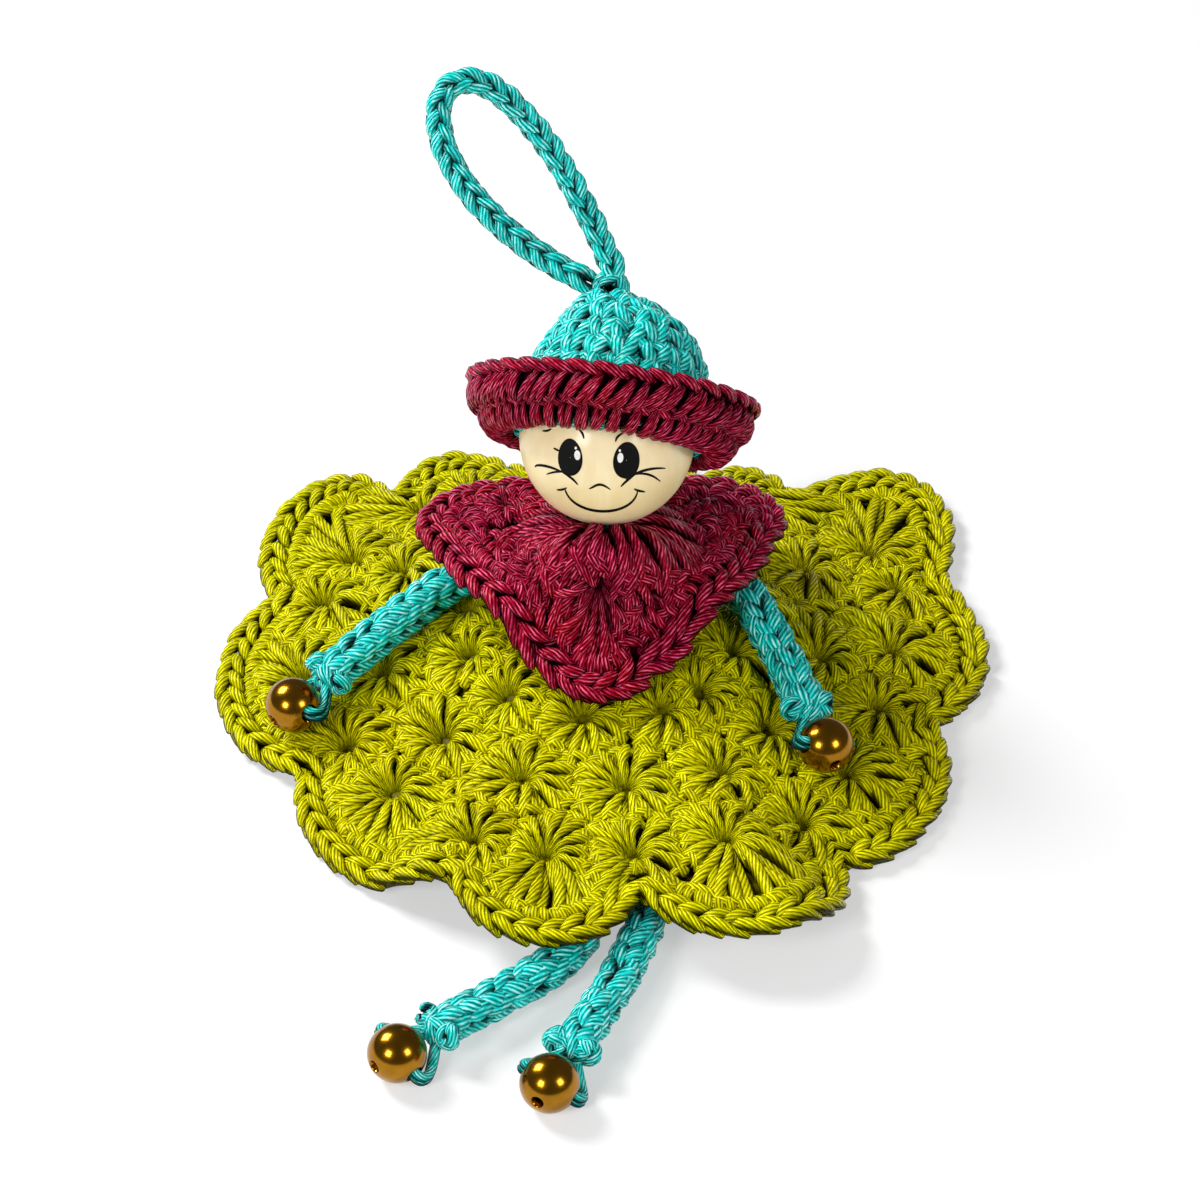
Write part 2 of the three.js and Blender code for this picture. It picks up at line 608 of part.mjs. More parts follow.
const rightLeg = [[-hipX, hipY], [-3.3, -25], [-1.9, -42], [-1.7, -51], [-4.5, -59.6]].map(onTable);
const leftLeg = [[hipX, hipY], [5.6, -25], [6.9, -42], [6.4, -52], [2.8, -63.3]].map(onTable);
const rightFoot = new THREE.Vector3(RIGHT_FOOT_SIDE, RIGHT_FOOT_FRONT, beadRadius);
const leftFoot = new THREE.Vector3(LEFT_FOOT_SIDE, LEFT_FOOT_FRONT, beadRadius);
addLimb('right_leg', 'right_foot_bead', rightLeg, rightFoot, LEG_DIAMETER, LEG_ROOT_DIAMETER, -20);
addLimb('left_leg', 'left_foot_bead', leftLeg, leftFoot, LEG_DIAMETER, LEG_ROOT_DIAMETER, -20);

export default doll;
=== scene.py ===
import bpy
import numpy as np
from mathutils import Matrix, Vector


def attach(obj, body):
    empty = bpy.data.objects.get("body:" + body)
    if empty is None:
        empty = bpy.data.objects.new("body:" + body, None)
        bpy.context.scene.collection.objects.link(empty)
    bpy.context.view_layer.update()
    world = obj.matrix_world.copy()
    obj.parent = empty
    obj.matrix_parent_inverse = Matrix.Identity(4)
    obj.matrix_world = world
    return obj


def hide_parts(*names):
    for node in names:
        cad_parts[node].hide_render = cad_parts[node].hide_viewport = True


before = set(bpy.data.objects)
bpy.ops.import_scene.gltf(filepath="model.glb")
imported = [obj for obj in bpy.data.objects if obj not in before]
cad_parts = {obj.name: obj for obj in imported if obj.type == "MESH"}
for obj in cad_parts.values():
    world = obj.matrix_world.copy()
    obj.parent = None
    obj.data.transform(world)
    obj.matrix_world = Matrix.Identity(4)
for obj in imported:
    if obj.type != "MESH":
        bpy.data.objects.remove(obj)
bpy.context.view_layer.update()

# Table, lights and camera
# The doll sits on a plain white table under large soft lamps, with the main one above on the left.
# The camera looks down at 40 degrees. Sizes are in mm from here on, and in metres where Blender takes them.

MM = 0.001
RIGHT = np.array([1.0, 0.0, 0.0])
UP = np.array([0.0, 0.0, 1.0])
CAMERA_TILT = np.radians(40)
CAMERA_AWAY = 600
SENSOR = 36
IMAGE_PIXELS = 1200
PIXELS_PER_MM = 6.77
WAIST_PIXEL = (602, 681)
LAMP_AIM = (0, 0, 0.025)


def srgb(code):
    """Linear colour of an sRGB hex code: ((c + 0.055) / 1.055) to the power 2.4, or c / 12.92 in the
    darks."""
    c = np.array([int(code[i : i + 2], 16) for i in (1, 3, 5)]) / 255
    linear = np.where(c <= 0.04045, c / 12.92, ((c + 0.055) / 1.055) ** 2.4)
    return (*linear.tolist(), 1.0)


def node(tree, kind, sockets=None, **settings):
    """Adds one shader node, named without its first word. Settings are its properties. Sockets are its
    inputs: each is a value, a socket to link, or a node whose first output is linked."""
    made = tree.nodes.new("ShaderNode" + kind)
    for name, value in settings.items():
        setattr(made, name, value)
    for key, value in (sockets or {}).items():
        if isinstance(value, bpy.types.Node):
            value = value.outputs[0]
        if isinstance(value, bpy.types.NodeSocket):
            tree.links.new(value, made.inputs[key])
        else:
            made.inputs[key].default_value = value
    return made


def new_material(name):
    """An empty material and its node tree."""
    material = bpy.data.materials.new(name)
    material.use_nodes = True
    material.node_tree.nodes.clear()
    return material, material.node_tree


def new_object(name, data):
    """A new object in the scene."""
    made = bpy.data.objects.new(name, data)
    scene.collection.objects.link(made)
    return made


scene = bpy.context.scene
scene.view_settings.view_transform = "Standard"

# Matt white table paper. It shows as white where nothing shades it, keeps the doll's soft shadow, and stays
# white far off.
paper, tree = new_material("table_paper_matt")
grain = node(tree, "TexNoise", {"Scale": 900.0, "Detail": 3.0})
tooth = node(tree, "Bump", {"Strength": 0.05, "Distance": 0.0001, "Height": grain})
matt = node(tree, "BsdfDiffuse", {"Color": srgb("#f4f4f4"), "Normal": tooth})
glow = node(tree, "Emission", {"Color": srgb("#ffffff"), "Strength": 1.08})
ray = node(tree, "LightPath")
from_camera = ray.outputs["Is Camera Ray"]
seen = node(tree, "Math", {0: from_camera, 1: ray.outputs["Is Glossy Ray"]}, operation="ADD")
near = node(tree, "Math", {0: seen, 1: 0.42}, operation="MULTIPLY")
place = node(tree, "TexCoord")
away = node(tree, "VectorMath", {0: place.outputs["Object"]}, operation="LENGTH")
far = node(tree, "MapRange", {
    "Value": away.outputs["Value"], "From Min": 0.25, "From Max": 0.7, "To Max": 0.58})
share = node(tree, "Math", {0: far, 1: from_camera, 2: near}, operation="MULTIPLY_ADD")
mixed = node(tree, "MixShader", {0: share, 1: matt, 2: glow})
node(tree, "OutputMaterial", {"Surface": mixed})

table_mesh = bpy.data.meshes.new("table")
table_mesh.from_pydata([(-3, -3, 0), (3, -3, 0), (3, 3, 0), (-3, 3, 0)], [], [(0, 1, 2, 3)])
table_mesh.materials.append(paper)
table = new_object("table", table_mesh)

world = bpy.data.worlds.new("studio")
scene.world = world
world.use_nodes = True
tree = world.node_tree
tree.nodes.clear()
ray = node(tree, "LightPath")
level = node(tree, "MapRange", {"Value": ray.outputs["Is Camera Ray"], "To Min": 0.13, "To Max": 1.0})
sky = node(tree, "Background", {"Color": srgb("#ffffff"), "Strength": level})
node(tree, "OutputWorld", {"Surface": sky})


def soft_box(name, place, size, watts):
    """A square lamp that faces the doll: its -Z axis points from its place to the middle of the doll."""
    lamp = bpy.data.lights.new(name, "AREA")
    lamp.shape = "SQUARE"
    lamp.size = size
    lamp.energy = watts
    made = new_object(name, lamp)
    back = Vector(place) - Vector(LAMP_AIM)
    made.location = place
    made.rotation_euler = back.to_track_quat("Z", "Y").to_euler()


soft_box("key_lamp", (-0.43, 0.26, 0.52), 0.27, 5.8)
soft_box("right_lamp", (0.40, -0.36, 0.36), 0.2, 1.3)
soft_box("left_lamp", (-0.36, -0.48, 0.40), 0.2, 2.2)

camera_back = np.array([0, -np.cos(CAMERA_TILT), np.sin(CAMERA_TILT)])
camera_up = np.array([0, np.sin(CAMERA_TILT), np.cos(CAMERA_TILT)])
aim_right = (IMAGE_PIXELS / 2 - WAIST_PIXEL[0]) / PIXELS_PER_MM
aim_up = (WAIST_PIXEL[1] - IMAGE_PIXELS / 2) / PIXELS_PER_MM
camera_place = aim_right * RIGHT + aim_up * camera_up + CAMERA_AWAY * camera_back
camera_matrix = np.eye(4)
camera_matrix[:3, :3] = np.stack([RIGHT, camera_up, camera_back], axis=1)
camera_matrix[:3, 3] = camera_place * MM
camera_data = bpy.data.cameras.new("camera")
camera_data.sensor_width = SENSOR
camera_data.lens = SENSOR * PIXELS_PER_MM * CAMERA_AWAY / IMAGE_PIXELS
camera_data.clip_start = 0.01
camera = new_object("camera", camera_data)
camera.matrix_world = Matrix(camera_matrix.tolist())
scene.camera = camera

# Yarn
# All of the doll but its beads and its drawn face is crochet cotton. A stitch is a few bent strands of it,
# thick in the middle and thin at their ends.

STEPS = np.linspace(0, 1, 8)
rng = np.random.default_rng(7)


def unit(v):
    """Vectors of length one."""
    return v / np.linalg.norm(v, axis=-1, keepdims=True)


def smooth(x, low, high):
    """0 below low, 1 above high, and 3 t^2 - 2 t^3 between."""
    t = np.clip((x - low) / (high - low), 0, 1)
    return t * t * (3 - 2 * t)


def swell(t, thin, power=0.7, ends=0.06):
    """Thickness along a strand: thin + (1 - thin) * sin(pi u)^power, where u goes from ends to 1 - ends."""
    return thin + (1 - thin) * np.sin(np.pi * (ends + (1 - 2 * ends) * t)) ** power


def circle(turn, first, second):
    """Vectors at an angle from the first towards the second: cos(turn) first + sin(turn) second."""
    return np.cos(turn)[..., None] * first + np.sin(turn)[..., None] * second


def lattice(first, second):
    """Every pair of two rows of values, as two arrays with the first row's values down them."""
    return np.meshgrid(first, second, indexing="ij")


def run_along(points):
    """The distance along a line of points at each of them."""
    return np.concatenate([[0], np.cumsum(np.linalg.norm(np.diff(points, axis=0), axis=1))])


def along_line(s, run, rows):
    """What the rows are at distances s, where each row stands at its run."""
    return np.stack([np.interp(s, run, column) for column in rows.T], axis=-1)


def spaced(points, count):
    """The same line through count points at equal steps of its length, and the length."""
    run = run_along(points)
    return along_line(np.linspace(0, run[-1], count), run, points), run[-1]


def strands(paths, faces, wide, deep, sides=7, shade=0.0):
    """Yarn along many paths at once: paths is (strand, step, xyz) and faces the outward direction there. A
    ring is path + side * wide * cos(turn) + out * deep * sin(turn), with side = along x face and out = side
    x along. A point closes each end. The map runs once round the yarn and counts mm along it. Each point
    also gets one random number for each strand less its shade, a painted shade which is 0 in the open and
    about 2 deep in a hole."""
    count, steps = paths.shape[:2]
    along = unit(np.gradient(paths, axis=1))
    side = unit(np.cross(along, faces))
    out = np.cross(side, along)
    wide = np.broadcast_to(wide, (count, steps))
    deep = np.broadcast_to(deep, (count, steps))
    turn = 2 * np.pi * np.arange(sides) / sides
    across = (wide[..., None] * np.cos(turn))[..., None] * side[:, :, None]
    up = (deep[..., None] * np.sin(turn))[..., None] * out[:, :, None]
    rings = (paths[:, :, None] + across + up).reshape(count, -1, 3)
    first = paths[:, 0] - 0.5 * deep[:, :1] * along[:, 0]
    last = paths[:, -1] + 0.5 * deep[:, -1:] * along[:, -1]
    points = np.concatenate([rings, first[:, None], last[:, None]], axis=1)

    here = np.arange(steps * sides).reshape(steps, sides)
    after = np.roll(here, -1, axis=1)
    quads = np.stack([here[:-1], here[1:], after[1:], after[:-1]], axis=-1).reshape(-1, 4)
    start = np.stack([np.full(sides, steps * sides), here[0], after[0]], axis=-1)
    end = np.stack([here[-1], np.full(sides, steps * sides + 1), after[-1]], axis=-1)
    corners = np.concatenate([quads.ravel(), start.ravel(), end.ravel()])
    sizes = np.concatenate([np.full(len(quads), 4), np.full(2 * sides, 3)])
    shift = (steps * sides + 2) * np.arange(count)[:, None]

    step_length = np.linalg.norm(np.diff(paths, axis=1), axis=2)
    run = np.concatenate([np.zeros((count, 1)), np.cumsum(step_length, axis=1)], axis=1)
    run = run + 20 * rng.random((count, 1))
    k = np.arange(sides) / sides
    next_k = k + 1 / sides
    round_quad = np.broadcast_to(np.stack([k, k, next_k, next_k], axis=-1), (steps - 1, sides, 4))
    along_quad = np.stack([run[:, :-1], run[:, 1:], run[:, 1:], run[:, :-1]], axis=-1)
    along_quad = np.broadcast_to(along_quad[:, :, None], (count, steps - 1, sides, 4))
    round_start = np.stack([k + 0.5 / sides, k, next_k], axis=-1)
    round_end = np.stack([k, k + 0.5 / sides, next_k], axis=-1)
    around = np.concatenate([round_quad.ravel(), round_start.ravel(), round_end.ravel()])
    ends = np.repeat(run[:, [0, -1]], 3 * sides, axis=1)
    lengthwise = np.concatenate([along_quad.reshape(count, -1), ends], axis=1)
    uv = np.stack([np.broadcast_to(around, lengthwise.shape), lengthwise], axis=-1).reshape(-1, 2)

    # A random number for each strand, less its painted shade.
    tone_and_shade = rng.random((count, 1)) - np.broadcast_to(shade, (count, steps))
    tone_and_shade = np.concatenate([np.repeat(tone_and_shade, sides, axis=1), tone_and_shade[:, :1], tone_and_shade[:, -1:]], axis=1)
    return points.reshape(-1, 3), (corners + shift).ravel(), np.tile(sizes, count), uv, tone_and_shade.ravel()


def grid(points, closed_u=False, closed_v=False):
    """A sheet through points (u, v, xyz), as one part like those of strands. Its map stays on the upper
    side of the yarn, a quarter round, and counts 30 along v."""
    rows, columns = points.shape[:2]
    index = np.arange(rows * columns).reshape(rows, columns)
    index = np.concatenate([index, index[:1]]) if closed_u else index
    index = np.concatenate([index, index[:, :1]], axis=1) if closed_v else index
    v = np.broadcast_to(30 * np.arange(index.shape[1]) / columns, index.shape)
    flat = np.stack([np.full(index.shape, 0.25), v], axis=-1)
    quads, uv = (np.stack([a[:-1, :-1], a[1:, :-1], a[1:, 1:], a[:-1, 1:]], axis=2) for a in (index, flat))
    sizes = np.full(quads.size // 4, 4)
    return points.reshape(-1, 3), quads.ravel(), sizes, uv.reshape(-1, 2), np.full(rows * columns, 0.5)


def piece(name, parts, material, body, slot, *nodes):
    """Joins parts into one mesh in metres at the origin, sets its material, puts it on its body and hides
    the imported parts named by nodes, which it stands for. The slot is not used."""
    points, corners, sizes, uv, tone_and_shade = zip(*parts)
    before = np.cumsum([0] + [len(p) for p in points])
    corners = np.concatenate([c + b for c, b in zip(corners, before)]).astype(np.int32)
    points, sizes, uv, tone_and_shade = (np.concatenate(a) for a in (points, sizes, uv, tone_and_shade))
    mesh = bpy.data.meshes.new(name)
    mesh.vertices.add(len(points))
    mesh.vertices.foreach_set("co", (points * MM).astype(np.float32).ravel())
    mesh.loops.add(len(corners))
    mesh.loops.foreach_set("vertex_index", corners)
    mesh.polygons.add(len(sizes))
    mesh.polygons.foreach_set("loop_start", (np.cumsum(sizes) - sizes).astype(np.int32))
    mesh.update(calc_edges=True)
    mesh.uv_layers.new(name="yarn").uv.foreach_set("vector", uv.astype(np.float32).ravel())
    mesh.attributes.new("tone_and_shade", "FLOAT", "POINT").data.foreach_set("value", tone_and_shade.astype(np.float32))
    mesh.shade_smooth()
    mesh.materials.append(material)
    made = new_object(name, mesh)
    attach(made, body)
    if nodes:
        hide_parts(*nodes)
    return made


def cotton(name, groove_shade, yarn, crest_highlight, gleam, shine):
    """Mercerised crochet cotton: round plies wound about the yarn. Their height is |sin(10 pi * (round +
    along / 12 mm))| and a fibre noise on the yarn's own map, so a ply is about 0.6 mm wide, and it picks
    the colour: painted shade in the dip between two plies, the yarn's own colour, and a painted highlight
    and gleam along their tops. Painted shade also darkens the yarn low on its sides, below sin(2 pi round)
    = 0.96, where the yarn beside it would shade it, and the gloss is lowered there with it."""
    material, tree = new_material(name)
    place = node(tree, "UVMap", uv_map="yarn")
    around, along = node(tree, "SeparateXYZ", {0: place}).outputs[:2]
    twist = node(tree, "Math", {0: along, 1: 1 / 12.0, 2: around}, operation="MULTIPLY_ADD")
    phase = node(tree, "Math", {0: twist, 1: 10 * np.pi}, operation="MULTIPLY")
    wave = node(tree, "Math", {0: phase}, operation="SINE")
    ridge = node(tree, "Math", {0: wave}, operation="ABSOLUTE")
    fibre_x = node(tree, "Math", {0: twist, 1: 14.0}, operation="MULTIPLY")
    fibre_y = node(tree, "Math", {0: along, 1: 0.9}, operation="MULTIPLY")
    fibre_place = node(tree, "CombineXYZ", {0: fibre_x, 1: fibre_y})
    fibre = node(tree, "TexNoise", {"Vector": fibre_place, "Scale": 1.0, "Detail": 2.0})
    height = node(tree, "Math", {0: fibre, 1: 1.5, 2: ridge}, operation="MULTIPLY_ADD")
    level = node(tree, "MapRange", {"Value": height, "From Min": 0.6, "From Max": 1.9})
    # The ramp is painted shade at its dark end and painted highlights at its light end; only the stop at
    # 0.45 is the yarn's own colour.
    ramp = node(tree, "ValToRGB", {0: level})
    ramp.color_ramp.elements[0].color = srgb(groove_shade)
    ramp.color_ramp.elements[1].color = srgb(gleam)
    ramp.color_ramp.elements.new(0.45).color = srgb(yarn)
    ramp.color_ramp.elements.new(0.8).color = srgb(crest_highlight)
    spot = node(tree, "TexCoord").outputs["Object"]
    dye = node(tree, "TexNoise", {"Vector": spot, "Scale": 90.0, "Detail": 2.0})
    # Brightness: each strand's random number less its painted shade, plus a dye noise.
    tone_and_shade = node(tree, "Attribute", attribute_name="tone_and_shade")
    shade = node(tree, "Math", {0: tone_and_shade.outputs["Fac"], 1: dye}, operation="ADD")
    value = node(tree, "MapRange", {
        "Value": shade, "From Min": -1.8, "From Max": 1.7, "To Min": 0.3, "To Max": 1.15})
    # Painted shade: the colour is multiplied down to 0.06 on the yarn's low sides, away from its top.
    turn = node(tree, "Math", {0: around, 1: 2 * np.pi}, operation="MULTIPLY")
    upper = node(tree, "Math", {0: turn}, operation="SINE")
    side_shade = node(tree, "MapRange", {
        "Value": upper, "From Min": 0.06, "From Max": 0.96, "To Min": 0.06, "To Max": 1.0},
        interpolation_type="SMOOTHSTEP")
    lit = node(tree, "Math", {0: value, 1: side_shade}, operation="MULTIPLY")
    hue = node(tree, "MapRange", {
        "Value": dye, "From Min": 0.3, "From Max": 0.7, "To Min": 0.495, "To Max": 0.505})
    dyed = node(tree, "HueSaturation", {"Color": ramp, "Hue": hue, "Value": lit})
    bump = node(tree, "Bump", {"Height": height, "Strength": 0.9, "Distance": 0.00013})
    gloss = node(tree, "Math", {0: lit, 1: shine}, operation="MULTIPLY")
    surface = node(tree, "BsdfPrincipled", {
        "Base Color": dyed, "Roughness": 0.25, "IOR": 1.5, "Specular IOR Level": gloss,
        "Specular Tint": srgb(gleam), "Normal": bump})
    node(tree, "OutputMaterial", {"Surface": surface})
    return material


class Cord:
    """A cord's surface: middle(s) + radius * (cos(turn) face + sin(turn) side), with s in mm along its
    middle."""

    def __init__(self, points, face):
        self.points, self.length = spaced(points, 400)
        self.run = np.linspace(0, self.length, 400)
        along = unit(np.gradient(self.points, axis=0))
        self.side = unit(np.cross(along, np.broadcast_to(face, along.shape)))
        self.face = np.cross(self.side, along)

    def at(self, s, turn, radius):
        """Points of the surface and its outward directions there."""
        middle, face, side = (along_line(s, self.run, a) for a in (self.points, self.face, self.side))
        outward = circle(turn, face, side)
        return middle + radius[..., None] * outward, outward


def core(cord, radius):
    """The yarn inside a cord, as one round tube along its middle, so that no light shows between the
    stitches."""
    return strands(cord.points[None, ::16], cord.face[None, ::16], radius, radius, 8)


def ball(middle, radii, count, wide):
    """Yarn wound into a knot: arcs of great circles on random axes, middle + radii * (cos(a) e1 + sin(a)
    e2), with a from 0 to 3.4."""
    axis = unit(rng.normal(size=(count, 3)))
    first = unit(np.cross(axis, rng.normal(size=(count, 3))))
    second = np.cross(axis, first)
    outward = circle(np.linspace(0, 3.4, 10), first[:, None], second[:, None])
    thick = wide * swell(np.linspace(0, 1, 10), 0.6, 0.5, 0)
    return strands(middle + np.asarray(radii) * outward, outward, thick, thick)


# Hanging loop
# A chain crocheted from turquoise cotton, about 4 mm thick. It leaves the top of the hat, turns round and
# comes back into it, and a knot sews both ends to the crown.

# Its four colours: painted shade in the ply dips, the yarn's own colour, then two painted highlights.
turquoise = cotton("cotton_turquoise", "#005a57", "#00b0aa", "#14e8e0", "#c8fffb", 0.25)

HAT_RIGHT = np.array([0.9854, -0.1702, 0.0])
LOOP_ROOT = np.array([1.22, 21.51, 55.68])
LOOP_ACROSS = np.array([0.7829, 0.4163, 0.4623])
LOOP_ALONG = np.array([-0.6209, 0.4764, 0.6225])
LOOP_FACE = np.cross(LOOP_ACROSS, LOOP_ALONG)
LOOP_LONG, LOOP_WIDE, LOOP_SKEW, LOOP_ENDS = 36.8, 12.5, 0.8, 1.7
LOOP_PITCH, LOOP_RADIUS, LOOP_CORE = 3.05, 1.2, 0.8
TEARDROP_PEAK = 4 / 27**0.5


def teardrop(start):
    """The loop's middle line. Across is WIDE / 2 * sin(2 turn) sin(turn) over its peak, less SKEW * sin(2
    turn)^2; along is LONG * sin(turn)^2; and ENDS * cos(turn)^3 sets the two ends side by side on the
    crown."""
    turn = np.pi * np.linspace(start, 1 - start, 400)[:, None]
    across = LOOP_WIDE / 2 * np.sin(2 * turn) * np.sin(turn) / TEARDROP_PEAK
    across = across - LOOP_SKEW * np.sin(2 * turn) ** 2
    along = LOOP_LONG * np.sin(turn) ** 2
    return LOOP_ROOT + across * LOOP_ACROSS + along * LOOP_ALONG + LOOP_ENDS * np.cos(turn) ** 3 * HAT_RIGHT


def chain(cord, face_turn, first):
    """Two columns of leaf stitches on one face of a cord. A leaf starts under the middle of the face, lies
    slantwise over 1.75 pitches and ends at the cord's side, 1.2 radians round; it is low at its ends and
    high between."""
    count = round((cord.length - first) / LOOP_PITCH) - 1
    starts = np.linspace(first, cord.length - 2.1 * LOOP_PITCH, count)
    parts = []
    for hand, later in ((-1, 0), (1, 0.3)):
        s = starts[:, None] + LOOP_PITCH * (1.75 * STEPS + later)
        bow = hand * (1.25 * np.sin(np.pi / 2 * STEPS) ** 1.1 - 0.05) + rng.normal(0, 0.05, (count, 1))
        lift = np.sin(np.pi * (0.08 + 0.78 * STEPS)) - 1 + rng.normal(0, 0.06, (count, 1))
        points, outward = cord.at(s, face_turn + bow, LOOP_RADIUS + lift)
        leaf = swell(STEPS, 0.3)
        parts.append(strands(points, outward, 1.08 * leaf, leaf))
    return parts


loop = Cord(teardrop(0.02), LOOP_FACE)
loop_parts = chain(loop, 0.0, 0.0) + chain(loop, np.pi, 0.9)
loop_parts.append(core(loop, LOOP_CORE))
loop_parts.append(ball(LOOP_ROOT, (2.0, 2.0, 2.0), 9, 0.9))
loop_chain = piece("loop_chain", loop_parts, turquoise, "loop", "limb_yarn", "hanging_loop")

# Hat crown
# A dome of single crochet rounds in the same turquoise cotton, pulled over the back and top of the head.
# The rounds run up from its edge, and the loop draws its top a little to one side.

HEAD = np.array([0.70, 5.60, 41.14])
HAT_AXIS = np.array([0.1251, 0.7242, 0.6782])
HAT_BACK = np.cross(HAT_RIGHT, HAT_AXIS)
CROWN_RADIUS, CROWN_HEIGHT, CROWN_BASE = 14.1, 21.4, -0.6
CROWN_ROUND, CROWN_STITCH = 3.25, 4.2


def round_hat(turn, radius, height):
    """A point of the hat by its turn round the axis, its distance from it and its height above the head's
    middle. The crown leans 0.8 mm to the doll's left above 5 mm, then back by 2.6 * ((height - 13.5) /
    6.87)^2."""
    lean = 0.8 * smooth(height, 5, 12) - 2.6 * (np.maximum(height - 13.5, 0) / 6.87) ** 2
    ring = circle(turn, HAT_RIGHT, HAT_BACK)
    return HEAD + radius[..., None] * ring + height[..., None] * HAT_AXIS + lean[..., None] * HAT_RIGHT


def off_hat(turn, radius, height, normal, out):
    """A point of the hat moved out along its normal, which is given as radius and height, and the normal
    there."""
    outward = round_hat(turn, normal[..., 0], normal[..., 1]) - HEAD
    return round_hat(turn, radius + out * normal[..., 0], height + out * normal[..., 1]), unit(outward)


rise = np.linspace(0, np.pi / 2, 200)
dome_line = np.stack([CROWN_RADIUS * np.cos(rise), CROWN_BASE + CROWN_HEIGHT * np.sin(rise)], axis=1)
dome_run = run_along(dome_line)


def crown_at(turn, s, out):
    """The crown's surface s mm up from its edge: a quarter ellipse turned about the axis."""
    up = np.interp(s, dome_run, rise)
    normal = unit(np.stack([np.cos(up) / CROWN_RADIUS, np.sin(up) / CROWN_HEIGHT], axis=-1))
    return off_hat(turn, CROWN_RADIUS * np.cos(up), CROWN_BASE + CROWN_HEIGHT * np.sin(up), normal, out)


def vees(at, turn, start, half, reach, out, wide, deep, jitter, rise):
    """V stitches on a round surface: from each start two legs run reach mm on and half a stitch to either
    side. A leg is low where it leaves the stitch before, high by rise in its middle and low under the
    next."""
    parts = []
    for hand in (-1, 1):
        wander = rng.normal(0, jitter, (len(turn), 3))
        s = start[:, None] + reach * (STEPS + 0.3 * wander[:, :1])
        spread = hand * (0.1 + 0.85 * np.sin(np.pi / 2 * STEPS)) + wander[:, 1:2]
        lift = out + rise * (np.sin(np.pi * (0.08 + 0.8 * STEPS)) - 1) * (1 + wander[:, 2:])
        points, outward = at(turn[:, None] + half[:, None] * spread, s, lift)
        leg = swell(STEPS, 0.35, 0.8, 0.08)
        parts.append(strands(points, outward, wide * leg, deep * leg))
    return parts


def bars(at, turn, start, half, out, thick):
    """The loop that closes each stitch: a short bar along the round, leaning a little, high in its
    middle."""
    q = np.linspace(0, 1, 7)
    wander = rng.normal(0, 1, (len(turn), 3))
    t = turn[:, None] + half[:, None] * (1.5 * (q - 0.5) + 0.25 * wander[:, :1])
    s = start[:, None] + (0.9 + 0.5 * wander[:, 1:2]) * (q - 0.5) + 0.25 * wander[:, 2:]
    points, outward = at(t, s, out + 0.55 * np.sin(np.pi * q))
    return strands(points, outward, thick * swell(q, 0.5), thick * swell(q, 0.5))


crown_rows = []
for i, s in enumerate(np.arange(0.3, dome_run[-1] - 2.2, CROWN_ROUND)):
    around = max(5, round(2 * np.pi * np.interp(s + 1.6, dome_run, dome_line[:, 0]) / CROWN_STITCH))
    row_turn = 2 * np.pi * (np.arange(around) + 0.37 * i) / around
    crown_rows.append((row_turn, np.full(around, s), np.full(around, np.pi / around)))
crown_turn, crown_start, crown_half = (np.concatenate(a) for a in zip(*crown_rows))
between = crown_turn + crown_half
crown_parts = vees(crown_at, crown_turn, crown_start, crown_half, 4.1, -0.5, 1.2, 1.25, 0.35, 1.1)
crown_parts += vees(crown_at, between, crown_start + 1.7, crown_half, 3.4, -1.25, 1.1, 1.0, 0.35, 0.7)
crown_parts.append(bars(crown_at, between, crown_start + 3.1, crown_half, -1.2, 1.1))
turn, s = lattice(np.linspace(0, 2 * np.pi, 48, endpoint=False), np.linspace(0.2, dome_run[-1] - 0.6, 20))
crown_parts.append(grid(crown_at(turn, s, -1.6)[0][::-1], closed_u=True))
piece("crown_yarn", crown_parts, turquoise, "head", "limb_yarn", "hat_crown")

# Hat brim
# Two rows of burgundy cotton worked into the crown's edge, with a chain between them and a chain round the
# rim. The strip flares up and out like a bowl, and its inner side has a row and a chain of its own.

# Its four colours: painted shade in the ply dips, the yarn's own colour, then two painted highlights.
burgundy = cotton("cotton_burgundy", "#360006", "#6a0010", "#a60e32", "#f4648c", 0.25)
# A dark copy of the burgundy cotton: painted shade for the sheets under the brim's and the shawl's
# stitches.
burgundy_shade = cotton("cotton_burgundy_painted_shade", "#180004", "#2c000a", "#3c0212", "#4c061c", 0.1)
BRIM_FOOT, BRIM_FLARE, BRIM_BASE, BRIM_HEIGHT = 15.0, 5.25, -1.7, 8.1


def brim_at(turn, t, out):
    """The brim's outer side, t from its foot to its rim: the radius is FOOT + FLARE * sin(pi t / 2), the
    height BASE + HEIGHT * t^2 and the normal about (15.12 t, -8.25 cos(pi t / 2)). Past the rim it goes
    straight up."""
    share = np.minimum(t, 1.0)
    lean = share * np.pi / 2
    radius = BRIM_FOOT + BRIM_FLARE * np.sin(lean)
    height = BRIM_BASE + BRIM_HEIGHT * share**2 + 15 * np.maximum(t - 1.0, 0)
    normal = unit(np.stack([15.12 * share + 1e-6, -8.25 * np.cos(lean)], axis=-1))
    return off_hat(turn, radius, height, normal, out)


